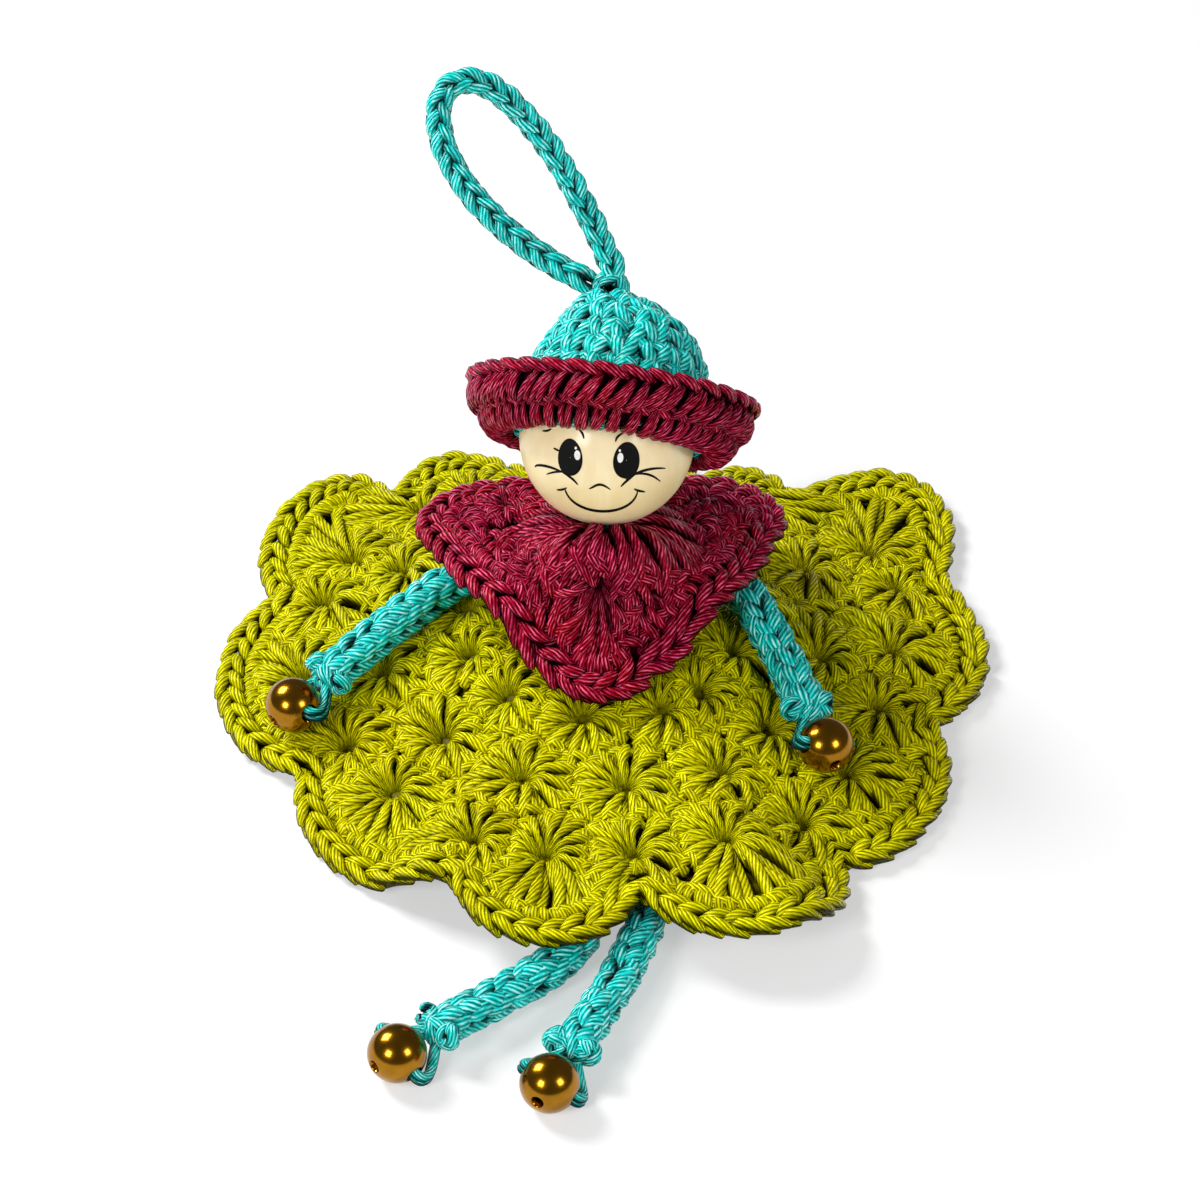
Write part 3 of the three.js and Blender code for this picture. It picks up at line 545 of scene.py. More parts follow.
def brim_row(count, low, high, slant, out, wide, deep, side=1):
    """A row of stitch legs in pairs from t = low to t = high, leaning by slant radians round the hat. They
    bow outwards, or inwards where side is -1. Painted shade darkens both ends of each leg, where the rows
    meet."""
    pair = np.arange(count) + 0.16 * (-1) ** np.arange(count) + rng.normal(0, 0.12, count)
    turn = 2 * np.pi * pair[:, None] / count + slant * (1 + rng.normal(0, 0.3, (count, 1))) * (STEPS - 0.5)
    t = low + (high - low) * STEPS + rng.normal(0, 0.025, (count, 1))
    bow = 0.6 * side * np.sin(np.pi * STEPS) + rng.normal(0, 0.12, (count, 1))
    points, outward = brim_at(turn, t, out + bow)
    leg = swell(STEPS, 0.55, 0.6, 0)
    # Painted shade at both ends of each leg, as a dark line between the rows.
    shade = 1.2 * (1 - np.sin(np.pi * (0.06 + 0.88 * STEPS)))
    return strands(points, side * outward, wide * leg, deep * leg, shade=shade)


def brim_chain(count, t_from, t_to, out_from, out_to, wide, deep, phase=0.0, side=1):
    """A chain round the hat: leaves 1.35 stitches long that rise from under the leaf before. They face out,
    or in where side is -1."""
    turn = 2 * np.pi / count * (np.arange(count)[:, None] + phase + 1.35 * STEPS)
    t = t_from + (t_to - t_from) * STEPS
    points, outward = brim_at(turn, t, out_from + (out_to - out_from) * np.sin(0.7 * np.pi * STEPS))
    leaf = swell(STEPS, 0.3, ends=0.05)
    return strands(points, side * outward, wide * leaf, deep * leaf)


brim_parts = [
    brim_row(92, -0.14, 0.58, -0.06, -1.15, 0.6, 0.95),
    brim_row(104, 0.6, 0.96, -0.13, -0.95, 0.62, 1.0),
    brim_chain(36, 0.5, 0.68, -1.7, -1.05, 0.75, 0.75, 0.2),
    brim_row(70, 0.02, 0.92, 0.1, -2.1, 0.8, 0.8, -1),
    brim_chain(33, 0.95, 1.03, -1.2, 0.15, 0.9, 1.0),
    brim_chain(33, 0.95, 1.02, -1.7, -2.0, 0.9, 0.9, 0.5, -1),
]
piece("brim_yarn", brim_parts, burgundy, "head", "shawl_yarn", "hat_brim")
# A sheet in painted shade under the brim's stitches, seen dark in the gaps between them.
turn, t = lattice(np.linspace(0, 2 * np.pi, 96, endpoint=False), np.linspace(-0.35, 0.97, 16))
ground = grid(brim_at(turn, t, -1.75)[0], closed_u=True)
piece("brim_ground", [ground], burgundy_shade, "head", "shawl_yarn", "hat_brim")

# Head
# A turned maple bead, 25 mm, bored for the cord and lacquered. The face is drawn on it in black ink.

HEAD_RADIUS, HEAD_BORE, HEAD_LIP = 12.5, 5.0, 0.35
BORE_AXIS = unit(np.array([0.0470, 0.3756, 0.9256]))

maple, tree = new_material("maple_lacquered")
spot = node(tree, "TexCoord").outputs["Object"]
turned = node(tree, "Mapping", {"Vector": spot, "Rotation": (0.5, 0.2, 0.0), "Scale": (1, 1, 0.12)})
bands = node(tree, "TexNoise", {"Vector": turned, "Scale": 420.0, "Detail": 4.0, "Roughness": 0.6})
cloud = node(tree, "TexNoise", {"Vector": spot, "Scale": 110.0, "Detail": 2.0})
both = node(tree, "Math", {0: bands, 1: cloud}, operation="ADD")
level = node(tree, "MapRange", {"Value": both, "From Min": 0.6, "From Max": 1.4})
ramp = node(tree, "ValToRGB", {0: level})
ramp.color_ramp.elements[0].color = srgb("#f2d59c")
ramp.color_ramp.elements[1].color = srgb("#ffeec2")
bump = node(tree, "Bump", {"Height": bands, "Strength": 0.06, "Distance": 0.0002})
surface = node(tree, "BsdfPrincipled", {
    "Base Color": ramp, "Roughness": 0.45, "IOR": 1.5, "Coat Weight": 0.35, "Coat Roughness": 0.15,
    "Normal": bump})
node(tree, "OutputMaterial", {"Surface": surface})


def bored_ball(middle, axis, radius, bore, lip, rings, around):
    """A ball turned about its bore: the sphere, a lip, the wall of the bore and the other lip, closed on
    itself."""
    edge = np.arcsin(bore / radius) + lip / radius
    polar_angle = np.linspace(edge, np.pi - edge, rings)
    sphere = np.stack([radius * np.sin(polar_angle), -radius * np.cos(polar_angle)], axis=1)
    wall = np.sqrt(radius**2 - bore**2) - lip
    inside = np.stack([np.full(6, bore), np.linspace(wall, -wall, 6)], axis=1)
    profile = np.concatenate([sphere, inside])
    first = unit(np.cross(axis, [0.3, 0.2, 0.9]))
    ring = circle(np.linspace(0, 2 * np.pi, around, endpoint=False), first, np.cross(axis, first))
    points = middle + profile[None, :, :1] * ring[:, None] + profile[None, :, 1:] * axis
    return grid(points, closed_u=True, closed_v=True)


head_part = bored_ball(HEAD, BORE_AXIS, HEAD_RADIUS, HEAD_BORE / 2, HEAD_LIP, 64, 96)
piece("head_ball", [head_part], maple, "head", "head_wood", "head_bead")

# Drawn face
# Eyes, brows, whiskers, nose and smile, drawn on the wood with a fine black pen, with two white dots of
# paint in each eye. Places are in mm on the side of the bead that faces the viewer, from its middle to the
# right and up.

FACE_PIXEL = (607.5, 438.5)
FACE_PIXELS_PER_MM = 7.0
INK_HIGH, EYE_HIGH, DOT_HIGH = 0.03, 0.035, 0.06

toward = unit(camera_place - HEAD)
face_right = unit(np.cross(camera_up, toward))
face_up = np.cross(toward, face_right)


def on_face(x, y, out):
    """The point of the bead in front of x, y: middle + x right + y up + sqrt((R + out)^2 - x^2 - y^2)
    towards the viewer."""
    depth = np.sqrt((HEAD_RADIUS + out) ** 2 - x**2 - y**2)
    return HEAD + x[..., None] * face_right + y[..., None] * face_up + depth[..., None] * toward


def drawn(*pixels):
    """Points of the face from pixels of the photograph."""
    return (np.array(pixels) - FACE_PIXEL) * (1, -1) / FACE_PIXELS_PER_MM


def pen(wide, *pixels):
    """One pen line: a smooth curve through its points, widest in the middle and thin at both ends."""
    points = drawn(*pixels)
    degree = min(3, len(points) - 1)
    at = np.linspace(0, len(points) - 1, 28)
    curves = [np.polyfit(np.arange(len(points)), column, degree) for column in points.T]
    line = np.stack([np.polyval(curve, at) for curve in curves], axis=1)
    along = unit(np.gradient(line, axis=0))
    across = np.stack([-along[:, 1], along[:, 0]], axis=1)
    half = 0.5 * wide * swell(np.linspace(0, 1, 28), 0.35, 0.6, 0)
    rows = line[:, None] + np.array([1, 0, -1])[None, :, None] * half[:, None, None] * across[:, None]
    return grid(on_face(rows[..., 0], rows[..., 1], INK_HIGH))


def oval(pixel, radii, lean, out, egg=0.0):
    """A filled oval: rings about its middle, narrower at the top by egg, leaning by an angle in degrees."""
    share, turn = lattice(np.linspace(0.02, 1, 8), np.linspace(0, 2 * np.pi, 40, endpoint=False))
    middle = drawn(pixel)[0]
    x = radii[0] * share * np.cos(turn) * (1 - egg * np.sin(turn))
    y = radii[1] * share * np.sin(turn)
    c, s = np.cos(np.radians(lean)), np.sin(np.radians(lean))
    return grid(on_face(middle[0] + x * c - y * s, middle[1] + x * s + y * c, out), closed_v=True)


def plain_paint(name, colour, roughness):
    """Pen ink or dotted paint: even colour with a faint mottle where it soaks into the wood."""
    material, tree = new_material(name)
    spot = node(tree, "TexCoord").outputs["Object"]
    mottle = node(tree, "TexNoise", {"Vector": spot, "Scale": 1500.0, "Detail": 2.0})
    value = node(tree, "MapRange", {"Value": mottle, "To Min": 0.75, "To Max": 1.25})
    mottled = node(tree, "HueSaturation", {"Color": srgb(colour), "Value": value})
    surface = node(tree, "BsdfPrincipled", {
        "Base Color": mottled, "Roughness": roughness, "IOR": 1.48, "Specular IOR Level": 0.15})
    node(tree, "OutputMaterial", {"Surface": surface})
    return material


ink = plain_paint("pen_ink_black", "#040404", 0.6)
white_paint = plain_paint("dot_paint_white", "#f2f2ee", 0.4)
ink_parts = [
    pen(0.38, (564, 473), (552, 468), (541, 466), (537, 468)),
    pen(0.34, (578, 474), (562, 472), (548, 475)),
    pen(0.34, (564, 473), (572, 478), (579, 485)),
    pen(0.38, (626, 480), (644, 471), (665, 469)),
    pen(0.34, (635, 475), (648, 475), (660, 482)),
    pen(0.34, (621, 487), (627, 481), (635, 475)),
    pen(0.3, (555, 449), (561, 452)),
    pen(0.32, (544, 432), (549, 432), (553, 430)),
    pen(0.34, (579, 430), (583, 434), (585, 440)),
    pen(0.34, (616, 443), (618, 438), (624, 434)),
    pen(0.36, (590, 489), (596, 486), (602, 485), (611, 490)),
    pen(0.4, (566, 489), (573, 499), (586, 509), (604, 513), (619, 509), (631, 501), (638, 491)),
    pen(0.34, (558, 490), (563, 490), (568, 488)),
    pen(0.34, (634, 489), (639, 491), (645, 492)),
    oval((571.5, 458), (1.72, 2.62), 3, EYE_HIGH, 0.1),
    oval((626.5, 461), (1.85, 2.58), -6, EYE_HIGH, 0.06),
]
piece("face_ink", ink_parts, ink, "head", "head_wood")
dot_parts = [
    oval((578.5, 456), (0.42, 0.68), 4, DOT_HIGH),
    oval((620.5, 458.5), (0.42, 0.7), -4, DOT_HIGH),
    oval((577, 449), (0.16, 0.2), 0, DOT_HIGH),
    oval((620, 451.5), (0.16, 0.2), 0, DOT_HIGH),
]
piece("face_dots", dot_parts, white_paint, "head", "head_wood")

# Skirt
# A round of green-yellow cotton worked in wheels: fans of trebles that run out from a hole to the next row,
# then rows of slanting stitches round eleven scallops. It spreads on the table and rises over the legs in
# front.

# Its four colours: painted shade in the ply dips, the yarn's own colour, then two painted highlights.
lime = cotton("cotton_lime", "#5e5900", "#a09b00", "#d8d300", "#fcf818", 0.3)
# A dark copy of the lime cotton: painted shade for the sheet under the skirt's stitches.
lime_shade = cotton("cotton_lime_painted_shade", "#343000", "#504b00", "#645f00", "#787200", 0.1)
SKIRT_THICK = 3.0
SKIRT_HIGH, SKIRT_REACH, SKIRT_LIFTED = 15.5, 54, 6.6
SKIRT_WAIST, SKIRT_EDGING = 3, 5.4

# Eleven uneven scallops, anticlockwise: the angle of the valley each starts from, that valley's distance
# from the middle, the distance of the crest after it and how far the crest leans to the next valley.
SCALLOPS = np.array([
    (-152.5, 49.5, 56.2, 1.4), (-112.5, 55, 64, 1.1), (-84.5, 54.5, 65.2, 0.95), (-50.5, 53, 57, 0.7),
    (-14.8, 50, 57.8, 1.4), (22, 56.5, 67.3, 1.3), (54.3, 50.9, 53.5, 0.85), (71, 46.5, 57, 1),
    (103, 46, 57.3, 1.3), (127.5, 53, 63.2, 0.55), (162, 52, 56.9, 0.9), (207.5, 49.5, 56.2, 1.4)])


def skirt_under(x, y):
    """Height of the underside: HIGH * (1 - r / REACH)^1.25. Within 24 degrees of the front it is a soft
    maximum of that and LIFTED, which fades out by 38 degrees."""
    r, angle = np.hypot(x, y), np.degrees(np.arctan2(y, x))
    fall = SKIRT_HIGH * np.maximum(0, 1 - r / SKIRT_REACH) ** 1.25
    lifted = 0.5 * (fall + SKIRT_LIFTED + np.hypot(fall - SKIRT_LIFTED, 1.5))
    front = 1 - smooth(np.abs((angle + 270) % 360 - 180), 24, 38)
    return fall + (lifted - fall) * front


def skirt_edge(angle):
    """Distance of the hem from the middle: between two valleys it swells to the crest by (1 -
    across^2)^0.8, where across is 2 * share^lean - 1."""
    first = SCALLOPS[0, 0]
    angle = (angle - first) % 360 + first
    which = np.clip(np.searchsorted(SCALLOPS[:, 0], angle, side="right") - 1, 0, len(SCALLOPS) - 2)
    here, after = SCALLOPS[which], SCALLOPS[which + 1]
    share = (angle - here[..., 0]) / (after[..., 0] - here[..., 0])
    arch = np.maximum(0, 1 - (2 * share ** here[..., 3] - 1) ** 2) ** 0.8
    valley = here[..., 1] + (after[..., 1] - here[..., 1]) * share
    return valley + (here[..., 2] - valley) * arch


def polar(angle, radius):
    """Points of the ground plan at angles in degrees and distances from the middle."""
    angle, radius = np.broadcast_arrays(np.radians(angle), radius)
    return np.stack([radius * np.cos(angle), radius * np.sin(angle)], axis=-1)


def laid(height):
    """A cloth over the ground plan: at(plan, out) gives the points height(x, y) + out along the normal, and
    the normals."""
    def at(plan, out):
        x, y = plan[..., 0], plan[..., 1]
        e = 0.25
        slope_x = (height(x + e, y) - height(x - e, y)) / (2 * e)
        slope_y = (height(x, y + e) - height(x, y - e)) / (2 * e)
        normal = unit(np.stack([-slope_x, -slope_y, np.ones_like(slope_x)], axis=-1))
        return np.stack([x, y, height(x, y)], axis=-1) + np.asarray(out)[..., None] * normal, normal
    return at


def wheels(centres, every, posts, inside, at, wide, deep, sink_and_shade=0.0):
    """Fans of trebles. From each centre posts run out to the line half way to the next centre, or to the
    cloth's edge. A treble is two strands, thin and low at the hole and darkened there by painted shade,
    that cross once on their way. Lower strands lie between the trebles in painted shade that is deepest
    near the hole; the last argument sets them deeper and adds to that shade. A leaf lies across the end of
    each treble."""
    turn = 2 * np.pi * (np.arange(posts) + rng.random((len(centres), 1))) / posts
    turn = turn + rng.normal(0, 0.05, turn.shape)
    ray = np.stack([np.cos(turn), np.sin(turn)], axis=-1)
    gap = every[None] - centres[:, None]
    toward = np.einsum("ijk,ipk->ipj", gap, ray)
    half = np.where(toward > 0.05, (gap**2).sum(-1)[:, None] / (2 * np.maximum(toward, 0.05)), np.inf)
    half[np.broadcast_to((np.abs(gap).sum(-1) < 1e-6)[:, None], half.shape)] = np.inf
    reach = np.linspace(0.5, 16, 63)
    outside = ~inside(centres[:, None, None] + reach[:, None] * ray[:, :, None])
    edge = np.where(outside.any(-1), reach[outside.argmax(-1)], reach[-1])
    run = np.minimum(half.min(-1), edge)
    keep = run > 1.5
    centre = np.broadcast_to(centres[:, None], ray.shape)[keep]
    ray, run = ray[keep], run[keep][:, None]
    across = np.stack([-ray[:, 1], ray[:, 0]], axis=-1)
    gauge = np.pi / posts
    cross = np.pi * (0.12 + 0.9 * STEPS) + rng.normal(0, 0.3, run.shape)
    lean = rng.normal(0, 0.12, run.shape) * np.sin(np.pi * STEPS)
    high = rng.normal(0, 0.12, run.shape)

    def fan(s, aside, lift, *yarn):
        """Strands s mm out along each ray and aside from it."""
        plan = centre[:, None] + s[..., None] * ray[:, None] + aside[..., None] * across[:, None]
        return strands(*at(plan, lift), *yarn)

    parts = []
    s = 1.0 + (run - 1.3) * STEPS
    body = np.minimum(wide, 0.56 * gauge * s + 0.12)
    thick = deep * (0.45 + 0.55 * smooth(s, 0.6, 3.0))
    for hand in (-1, 1):
        aside = lean + hand * 0.48 * gauge * s * np.cos(cross)
        lift = -1.3 + (1.9 + high) * smooth(s, 0.6, 3.4) - 0.8 * smooth(s / run, 0.7, 1.0)
        lift = lift + hand * 0.35 * np.sin(cross) * smooth(s, 1.0, 4.0)
        # Painted shade darkens the trebles within 3 mm of the hole.
        parts.append(fan(s, aside, lift, body, thick, 7, 1.9 * (1 - smooth(s, 0.8, 3.0))))
    s = 1.4 + (run - 1.6) * STEPS
    lift = -1.4 - 0.3 * sink_and_shade + 1.25 * smooth(s, 0.6, 3.4)
    body = np.minimum(1.1 * wide, 0.54 * gauge * s + 0.12)
    # Painted shade on the lower strands: darkest near the hole, and more by the last argument.
    shade = sink_and_shade + 1.3 - 0.8 * smooth(s, 1.0, 5.0)
    parts.append(fan(s, (1 + lean) * gauge * s, lift, body, 0.85 * deep, 6, shade))
    s = run - 0.95 + (1.0 + 4 * high) * (STEPS - 0.5)
    lift = -0.35 + 0.9 * np.sin(np.pi * STEPS) + high
    leaf = swell(STEPS, 0.4)
    parts.append(fan(s, 2.2 * gauge * run * (STEPS - 0.5), lift, 0.9 * wide * leaf, 0.85 * deep * leaf))
    return parts


class Hem:
    """A cloth's edge: s mm along its outline, which runs anticlockwise, and inset mm in from it to the
    left."""

    def __init__(self, outline, cloth_at):
        self.cloth_at = cloth_at
        self.line = np.concatenate([outline, outline[:1]])
        self.run = run_along(self.line)
        self.length = self.run[-1]
        along = np.gradient(self.line, axis=0)
        along[0] = along[-1] = along[0] + along[-1]
        self.inward = unit(np.stack([-along[:, 1], along[:, 0]], axis=1))

    def row(self, pitch, reach, inset, out, wide, deep, first=0.0):
        """Slanting stitches: each runs reach mm along the edge, from inset[0] to inset[1] and from out[0]
        over a crest to out[1]."""
        count = round(self.length / pitch)
        wander = rng.normal(0, 0.1, (count, 3))
        s = (self.length * (np.arange(count) + first + wander[:, 0]) / count)[:, None] + reach * STEPS
        s = s % self.length
        side = inset[0] + (inset[1] - inset[0]) * STEPS + wander[:, 1:2]
        lift = out[0] + (out[1] - out[0]) * STEPS + 0.75 * np.sin(np.pi * STEPS) + wander[:, 2:]
        inward = along_line(s, self.run, self.inward)
        plan = along_line(s, self.run, self.line) + side[..., None] * inward
        leaf = swell(STEPS, 0.4, ends=0.05)
        return strands(*self.cloth_at(plan, lift), wide * leaf, deep * leaf)


def skirt_inside(plan):
    """Where the fans may lie: outside the waist and inside the hem's edging."""
    x, y = plan[..., 0], plan[..., 1]
    r = np.hypot(x, y)
    return (r > SKIRT_WAIST) & (r < skirt_edge(np.degrees(np.arctan2(y, x))) - SKIRT_EDGING)


skirt_at = laid(lambda x, y: skirt_under(x, y) + SKIRT_THICK / 2)
skirt_rows = [
    polar(10 + 60 * np.arange(6), 9.5),
    polar([-163, -132, -98, -64, -45, -16, 14, 45, 76, 107, 138, 168], 19.9),
    polar([148, -170, -138, -110, -84, -59, -38, -4, 32, 60, 90, 120],
          [35, 32.4, 30.3, 32.5, 32.5, 33, 30.3, 32, 36, 33, 33, 33]),
    polar([148, -136, -99.5, -68, -35, 3, 32.5, 62, 87, 116, -175.5],
          [44, 41, 46.6, 46, 42.4, 43, 48.4, 43.5, 43, 44, 43.5]),
    polar(SCALLOPS[:-1, 0], SCALLOPS[:-1, 1] - 8.5),
]
every_wheel = np.concatenate(skirt_rows)
middle_parts = wheels(np.concatenate(skirt_rows[:3]), every_wheel, 11, skirt_inside, skirt_at, 1.0, 1.15)
scallop_parts = wheels(np.concatenate(skirt_rows[3:]), every_wheel, 13, skirt_inside, skirt_at, 1.0, 1.15)
angle = np.linspace(-180, 180, 1440, endpoint=False)
skirt_hem = Hem(polar(angle, skirt_edge(angle)), skirt_at)
hem_parts = [
    skirt_hem.row(4.1, 5.7, (2.2, 0.4), (-0.3, 0.1), 1.0, 1.05),
    skirt_hem.row(4.1, 5.3, (2.1, 4.0), (-0.1, 0.3), 1.0, 1.05),
    skirt_hem.row(4.1, 5.6, (1.8, 0.7), (-1.1, -0.9), 0.9, 0.8, 0.5),
    skirt_hem.row(2.3, 2.3, (6.9, 4.2), (-0.5, -0.3), 0.9, 1.05, 0.2),
    skirt_hem.row(2.3, 2.4, (3.2, 6.2), (-1.0, -0.9), 0.95, 0.85, 0.7),
]
skirt_rounds = piece("skirt_rounds", middle_parts, lime, "body", "skirt_yarn", "skirt")
skirt_scallops = piece("skirt_scallops", scallop_parts, lime, "body", "skirt_yarn", "skirt")
skirt_border = piece("skirt_border", hem_parts, lime, "body", "skirt_yarn", "skirt")
# A sheet in painted shade under the fans, seen dark through their holes and gaps.
turn, share = lattice(angle[::8], np.linspace(0, 1, 30))
inner, outer = 2.4, skirt_edge(turn) - 2.0
ground = grid(skirt_at(polar(turn, inner + share * (outer - inner)), -0.95)[0][::-1], closed_u=True)
skirt_ground = piece("skirt_ground", [ground], lime_shade, "body", "skirt_yarn", "skirt")

# Shawl
# A three-cornered piece of burgundy cotton with the same fans and a chunky edge. The head's cord goes up
# through it. It lies on the arms, its front corner hangs to the skirt, and long trebles gather under the
# chin.

SHAWL_THICK = 3.2
SHAWL_COLLAR, SHAWL_CHIN = 28.34, 4.4
SHAWL_CORNER, SHAWL_EDGING = 9, 4.4
ARM_ROOM, FRONT_DROP = 7.6, 7
FRONT_CORNER, LEFT_CORNER, RIGHT_CORNER = (-0.3, -11.7), (18.0, 14.8), (-18.0, 13.5)


def shawl_top(x, y):
    """Height of its upper side: the skirt's top, an arm's room above it, dropped in front, and gathered up
    to the chin."""
    r = np.hypot(x, y)
    front = -y / np.maximum(r, 1e-6)
    drop = FRONT_DROP * smooth(front, 0.45, 0.9) * smooth(r, 6, 20)
    over = skirt_under(x, y) + SKIRT_THICK + ARM_ROOM - drop + SHAWL_THICK
    raised = SHAWL_COLLAR + SHAWL_CHIN * smooth(front, 0, 1)
    gathered = 1 - smooth(r, 6.8, 13.3)
    away = np.hypot(x - HEAD[0], y - HEAD[1])
    chin = HEAD[2] - np.sqrt(np.maximum(0, HEAD_RADIUS**2 - away**2))
    return np.minimum(over * (1 - gathered) + raised * gathered, np.maximum(SHAWL_COLLAR, chin - 0.6))


def shawl_side(before, corner, after, bulge):
    """Points round a corner and along the side after it, which swells outwards by bulge * 4 t (1 - t)."""
    before, corner, after = np.array(before), np.array(corner), np.array(after)
    outward = [unit(np.array([b[1] - a[1], a[0] - b[0]])) for a, b in ((before, corner), (corner, after))]
    start, end = (np.arctan2(v[1], v[0]) for v in outward)
    turn = start + (end - start) % (2 * np.pi) * np.linspace(0, 1, 24, endpoint=False)
    t = np.linspace(0, 1, 48, endpoint=False)[:, None]
    arc = corner + SHAWL_CORNER * np.stack([np.cos(turn), np.sin(turn)], axis=1)
    side = corner + (after - corner) * t + outward[1] * (SHAWL_CORNER + bulge * 4 * t * (1 - t))
    return np.concatenate([arc, side])


shawl_at = laid(lambda x, y: shawl_top(x, y) - 1.5)
shawl_line = np.concatenate([
    shawl_side(RIGHT_CORNER, FRONT_CORNER, LEFT_CORNER, 3.4),
    shawl_side(FRONT_CORNER, LEFT_CORNER, RIGHT_CORNER, 0.5),
    shawl_side(LEFT_CORNER, RIGHT_CORNER, FRONT_CORNER, 2.2)])
shawl_turn = np.unwrap(np.arctan2(shawl_line[:, 1], shawl_line[:, 0]))
shawl_reach = np.hypot(shawl_line[:, 0], shawl_line[:, 1])


def shawl_inside(plan):
    """Inside the outline by the edging's width, compared along the line from the neck."""
    x, y = plan[..., 0], plan[..., 1]
    turn = (np.arctan2(y, x) - shawl_turn[0]) % (2 * np.pi)
    return np.hypot(x, y) < np.interp(turn, shawl_turn - shawl_turn[0], shawl_reach) - SHAWL_EDGING


neck_hole = np.array([(0.0, 0.5)])
shawl_centres = np.array([
    (-0.6, -9.8), (-9.2, -4.4), (-15.8, 4), (6.6, -8.9), (13.4, -5.8), (12.7, 8.5), (21.4, 9.5),
    (-21.5, 11.5), (19.2, 2), (-13, 15), (-4.5, 14.5), (4.5, 14.5), (14, 17)], float)
neighbours = np.concatenate([shawl_centres, 0.55 * shawl_centres])
shawl_hem = Hem(shawl_line, shawl_at)
shawl_parts = [
    *wheels(neck_hole, 2.05 * shawl_centres, 19, shawl_inside, shawl_at, 1.0, 1.2, 0.8),
    *wheels(shawl_centres, neighbours, 10, shawl_inside, shawl_at, 0.98, 1.15, 0.8),
    shawl_hem.row(3.9, 5.2, (1.9, 0.0), (-0.3, 0.1), 1.05, 1.1),
    shawl_hem.row(3.9, 4.8, (1.9, 3.8), (0.0, 0.4), 1.05, 1.1),
    shawl_hem.row(3.9, 5.2, (1.6, 0.7), (-1.2, -0.9), 0.9, 0.85, 0.5),
    shawl_hem.row(2.3, 1.8, (6.0, 3.7), (-0.3, -0.1), 0.92, 1.1, 0.2),
    shawl_hem.row(2.3, 2.2, (3.0, 5.8), (-1.0, -0.9), 0.95, 0.85, 0.7),
    shawl_hem.row(2.3, 2.6, (8.6, 5.6), (-1.0, -0.7), 0.95, 0.95, 0.5),
]
shawl_yarn = piece("shawl_yarn", shawl_parts, burgundy, "body", "shawl_yarn", "poncho")
# A sheet in painted shade under the shawl's stitches, seen dark through its holes and gaps.
which, share = lattice(np.arange(len(shawl_line)), np.linspace(0, 1, 20))
inner, outer = 2.6, shawl_reach[which] - 2.0
plan = shawl_line[which] * ((inner + share * (outer - inner)) / shawl_reach[which])[..., None]
ground = grid(shawl_at(plan, -0.9)[0][::-1], closed_u=True)
shawl_ground = piece("shawl_ground", [ground], burgundy_shade, "body", "shawl_yarn", "poncho")

# Arms and legs
# Four crocheted cords of turquoise cotton, 6 mm thick: columns of V stitches round a core. The arms come
# out from under the shawl and lie on the skirt, the legs lie on the table, and each ends in a knot that
# carries a strap.

ARM_ROOT, ARM_FULL, LEG_ROOT, LEG_FULL, LIMB_END = 4.2, 6.4, 5.4, 6.0, 4.6
LIMB_COLUMNS, LIMB_ROUND = 4, 3.3
ARM_LIFT, HAND_LIFT = 3.8, 4.7

# Half of a strap's path: along the limb, along the bore and up, from the mouth of the bore to the collar.
STRAP_SIDE = np.array([
    (0, 3.2, 0), (-0.2, 4.1, -0.2), (-1.0, 4.35, -0.9), (-2.3, 3.85, -1.6), (-3.6, 2.9, -1.7),
    (-4.8, 1.9, -1.2), (-5.8, 1.0, -0.6)])
# The collar's knots: along the limb from the bead, level across it, up, and their radius.
COLLAR = ((-6.9, 0, -0.2, 1.7), (-7.1, 2.3, 0.7, 1.15), (-7.0, -2.3, 0.3, 1.15))


def catmull(points, closed=False):
    """Centripetal Catmull-Rom curve: each span's cubic has the tangents of steps as long as the root of the
    distances."""
    points = np.array(points, float)
    if closed:
        ends = points[-1:], points[:2]
    else:
        ends = 2 * points[:1] - points[1:2], 2 * points[-1:] - points[-2:-1]
    line = np.concatenate([ends[0], points, ends[1]])
    a, b, c, d = line[:-3], line[1:-2], line[2:-1], line[3:]
    ab, bc, cd = (np.linalg.norm(v, axis=1, keepdims=True) ** 0.5 for v in (b - a, c - b, d - c))
    first = bc * ((b - a) / ab - (c - a) / (ab + bc) + (c - b) / bc)
    last = bc * ((c - b) / bc - (d - b) / (bc + cd) + (d - c) / cd)
    t = np.linspace(0, 1, 30, endpoint=False)[None, :, None]
    b, c, first, last = (v[:, None] for v in (b, c, first, last))
    cubic = b + first * t + (3 * (c - b) - 2 * first - last) * t**2 + (2 * (b - c) + first + last) * t**3
    return np.concatenate([cubic.reshape(-1, 3), points[:1] if closed else points[-1:]])


def limb_radius(t, root, full):
    """Half the limb's thickness: from root to full over the first 0.3 of its length, drawn in at its
    end."""
    body = root + (full - root) * smooth(t, 0, 0.3)
    return 0.5 * (body + (LIMB_END - body) * smooth(t, 0.94, 1))


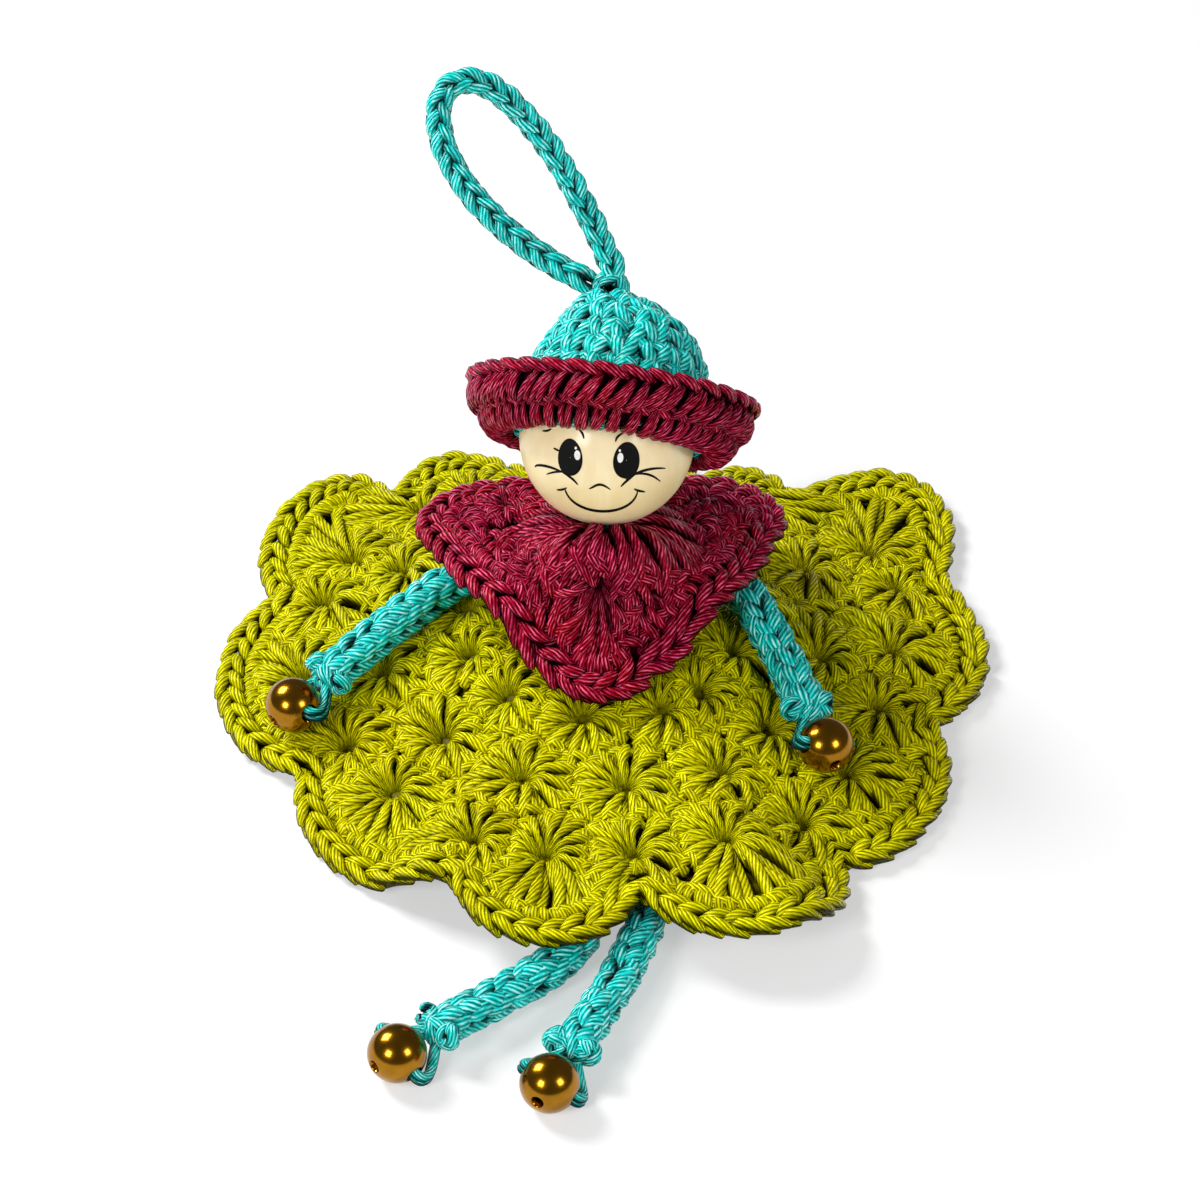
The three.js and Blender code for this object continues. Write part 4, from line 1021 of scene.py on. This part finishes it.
def limb(name, route, bead, root, full, bore_tilt):
    """A limb along its route to its bead, and the strap through the bead. The cord ends 6 mm short of the
    bead's middle. The bore lies across the limb, level, turned about the limb by a tilt in degrees. Gives
    the two pieces, the cord and the bead's axes and middle."""
    route, bead = np.array(route), np.array(bead)
    direction = unit(bead - route[-1])
    cord = Cord(catmull(np.concatenate([route, [bead - 6 * direction]])), UP)

    def at(turn, s, out):
        return cord.at(cord.length - s, turn, limb_radius(1 - s / cord.length, root, full) + out)

    column = np.arange(LIMB_COLUMNS)
    start, turn = lattice(np.arange(0.2, cord.length - 2.5, LIMB_ROUND), 2 * np.pi / LIMB_COLUMNS * column)
    start = (start + 0.8 * (column % 2)).ravel()
    half = np.full(len(start), np.pi / LIMB_COLUMNS)
    parts = vees(at, turn.ravel(), start, half, 5.0, -1.15, 1.3, 1.2, 0.2, 1.2)
    parts.append(core(cord, limb_radius(np.linspace(0, 1, 25), root, full) - 1.35))
    level = unit(np.cross(direction, UP))
    for along, across, up, size in COLLAR:
        middle = bead + along * direction + across * level + up * UP
        parts.append(ball(middle, (size, size, size), 8, 0.9))
    yarn = piece(name + "_yarn", parts, turquoise, name, "limb_yarn", name)

    bore = circle(np.radians(bore_tilt), level, np.cross(direction, level))
    side = np.cross(direction, bore)
    side = side * np.sign(side[2])
    other_side = (STRAP_SIDE * (1, -1, 1))[::-1]
    strap_path = np.concatenate([[(0, 0, 0)], STRAP_SIDE, [(-6.1, 0, -0.4)], other_side])
    line, _ = spaced(bead + catmull(strap_path @ np.stack([direction, bore, UP]), closed=True), 64)
    pair = line + 0.5 * np.array([-1, 1])[:, None, None] * side
    strap_yarn = strands(pair, np.broadcast_to(side, pair.shape), 0.72, 0.68, 8)
    strap = piece(name + "_loop", [strap_yarn], turquoise, name, "limb_yarn", name + "_strap")
    return yarn, strap, cord, direction, bore, bead


def on_skirt(points, lift):
    """Points over the skirt's upper side."""
    x, y = np.array(points, float).T
    return np.stack([x, y, skirt_under(x, y) + SKIRT_THICK + lift], axis=1)


right_arm = limb("right_arm", on_skirt([(-3.2, 1.2), (-12, 5.2), (-19.5, 6.4), (-27.5, 1.2)], ARM_LIFT),
                 on_skirt([(-44.3, -15.4)], HAND_LIFT)[0], ARM_ROOT, ARM_FULL, 12)
left_arm = limb("left_arm", on_skirt([(3.2, 1.2), (12, 4.4), (19.4, 3.4), (24.2, -5.4)], ARM_LIFT),
                on_skirt([(31.6, -25.6)], HAND_LIFT)[0], ARM_ROOT, ARM_FULL, -25)
right_leg = limb("right_leg", [(-3.3, -6.5, 3.3), (-3.3, -25, 3.3), (-1.9, -42, 3.3), (-1.7, -51, 3.3),
                               (-4.5, -59.6, 3.3)], (-27.1, -79.3, 4), LEG_ROOT, LEG_FULL, -20)
left_leg = limb("left_leg", [(3.3, -6.5, 3.3), (5.6, -25, 3.3), (6.9, -42, 3.3), (6.4, -52, 3.3),
                             (2.8, -63.3, 3.3)], (-6.9, -84.7, 4), LEG_ROOT, LEG_FULL, -20)

# Hands and feet
# Four 8 mm glass pearls with a bronze coating. Each is bored twice: its strap goes through one bore, and
# the other points away from the limb and shows as a dark hole.

PEARL_RADIUS, PEARL_BORE, PEARL_LIP = 4.0, 0.85, 0.15
STRAP_BORE, STRAP_BORE_DEEP = 1.25, 1.6

pearl, tree = new_material("glass_pearl_bronze")
spot = node(tree, "TexCoord").outputs["Object"]
cloud = node(tree, "TexNoise", {"Vector": spot, "Scale": 500.0, "Detail": 3.0})
ramp = node(tree, "ValToRGB", {0: cloud})
for stop, position, colour in zip(ramp.color_ramp.elements, (0.3, 0.7), ("#946406", "#a4720c")):
    stop.position = position
    stop.color = srgb(colour)
surface = node(tree, "BsdfPrincipled", {
    "Base Color": ramp, "Metallic": 1.0, "Roughness": 0.2, "IOR": 1.5, "Coat Weight": 0.2,
    "Coat Roughness": 0.06})
node(tree, "OutputMaterial", {"Surface": surface})


def pearl_bead(body, made):
    """A ball turned about the bore that runs on from the limb. Its surface goes in where it comes near the
    strap's bore. The limb's cord carries its strap and its bead."""
    yarn, strap, cord, direction, bore, middle = made
    points, *rest = bored_ball(middle, direction, PEARL_RADIUS, PEARL_BORE, PEARL_LIP, 90, 120)
    along = (points - middle) @ bore
    away = np.linalg.norm(points - middle - along[:, None] * bore, axis=1)
    inward = np.where((away < STRAP_BORE) & (np.abs(along) > 3), STRAP_BORE_DEEP, 0.0)
    points = points - (np.sign(along) * inward)[:, None] * bore
    bead = piece(body + "_pearl", [(points, *rest)], pearl, body, "pearl", body + "_bead")


pearl_bead("right_hand", right_arm)
pearl_bead("left_hand", left_arm)
pearl_bead("right_foot", right_leg)
pearl_bead("left_foot", left_leg)

# Neck cord and waist knot
# The cord goes from the knot under the skirt up through the skirt, the shawl and the head's bore, and holds
# them together. Both are turquoise cotton; the knot is yarn wound round the ends of the cord and the legs.

NECK_BEND = np.array([0, 0, 27.34])
NECK_RADIUS = 1.75
KNOT = np.array([0, 0, 7.0])

neck_line = catmull([
    (0, 0, 14.29), (0, 0, 20.66), NECK_BEND, 0.5 * (HEAD + NECK_BEND), HEAD, HEAD + 11 * BORE_AXIS])
neck_cord = Cord(neck_line, np.array([0, -1.0, 0]))
piece("neck_yarn", [core(neck_cord, NECK_RADIUS)], turquoise, "body", "limb_yarn", "neck_cord")
tip, turn = lattice(np.linspace(0.02, np.pi - 0.02, 16), np.linspace(0, 2 * np.pi, 32, endpoint=False))
knot_core = np.stack([np.sin(tip) * np.cos(turn), np.sin(tip) * np.sin(turn), -np.cos(tip)], axis=-1)
knot_parts = [ball(KNOT, (5.2, 5.2, 6.1), 60, 0.9), grid(KNOT + knot_core * (5.0, 5.0, 6.0), closed_v=True)]
piece("knot_yarn", knot_parts, turquoise, "body", "limb_yarn", "waist_knot")
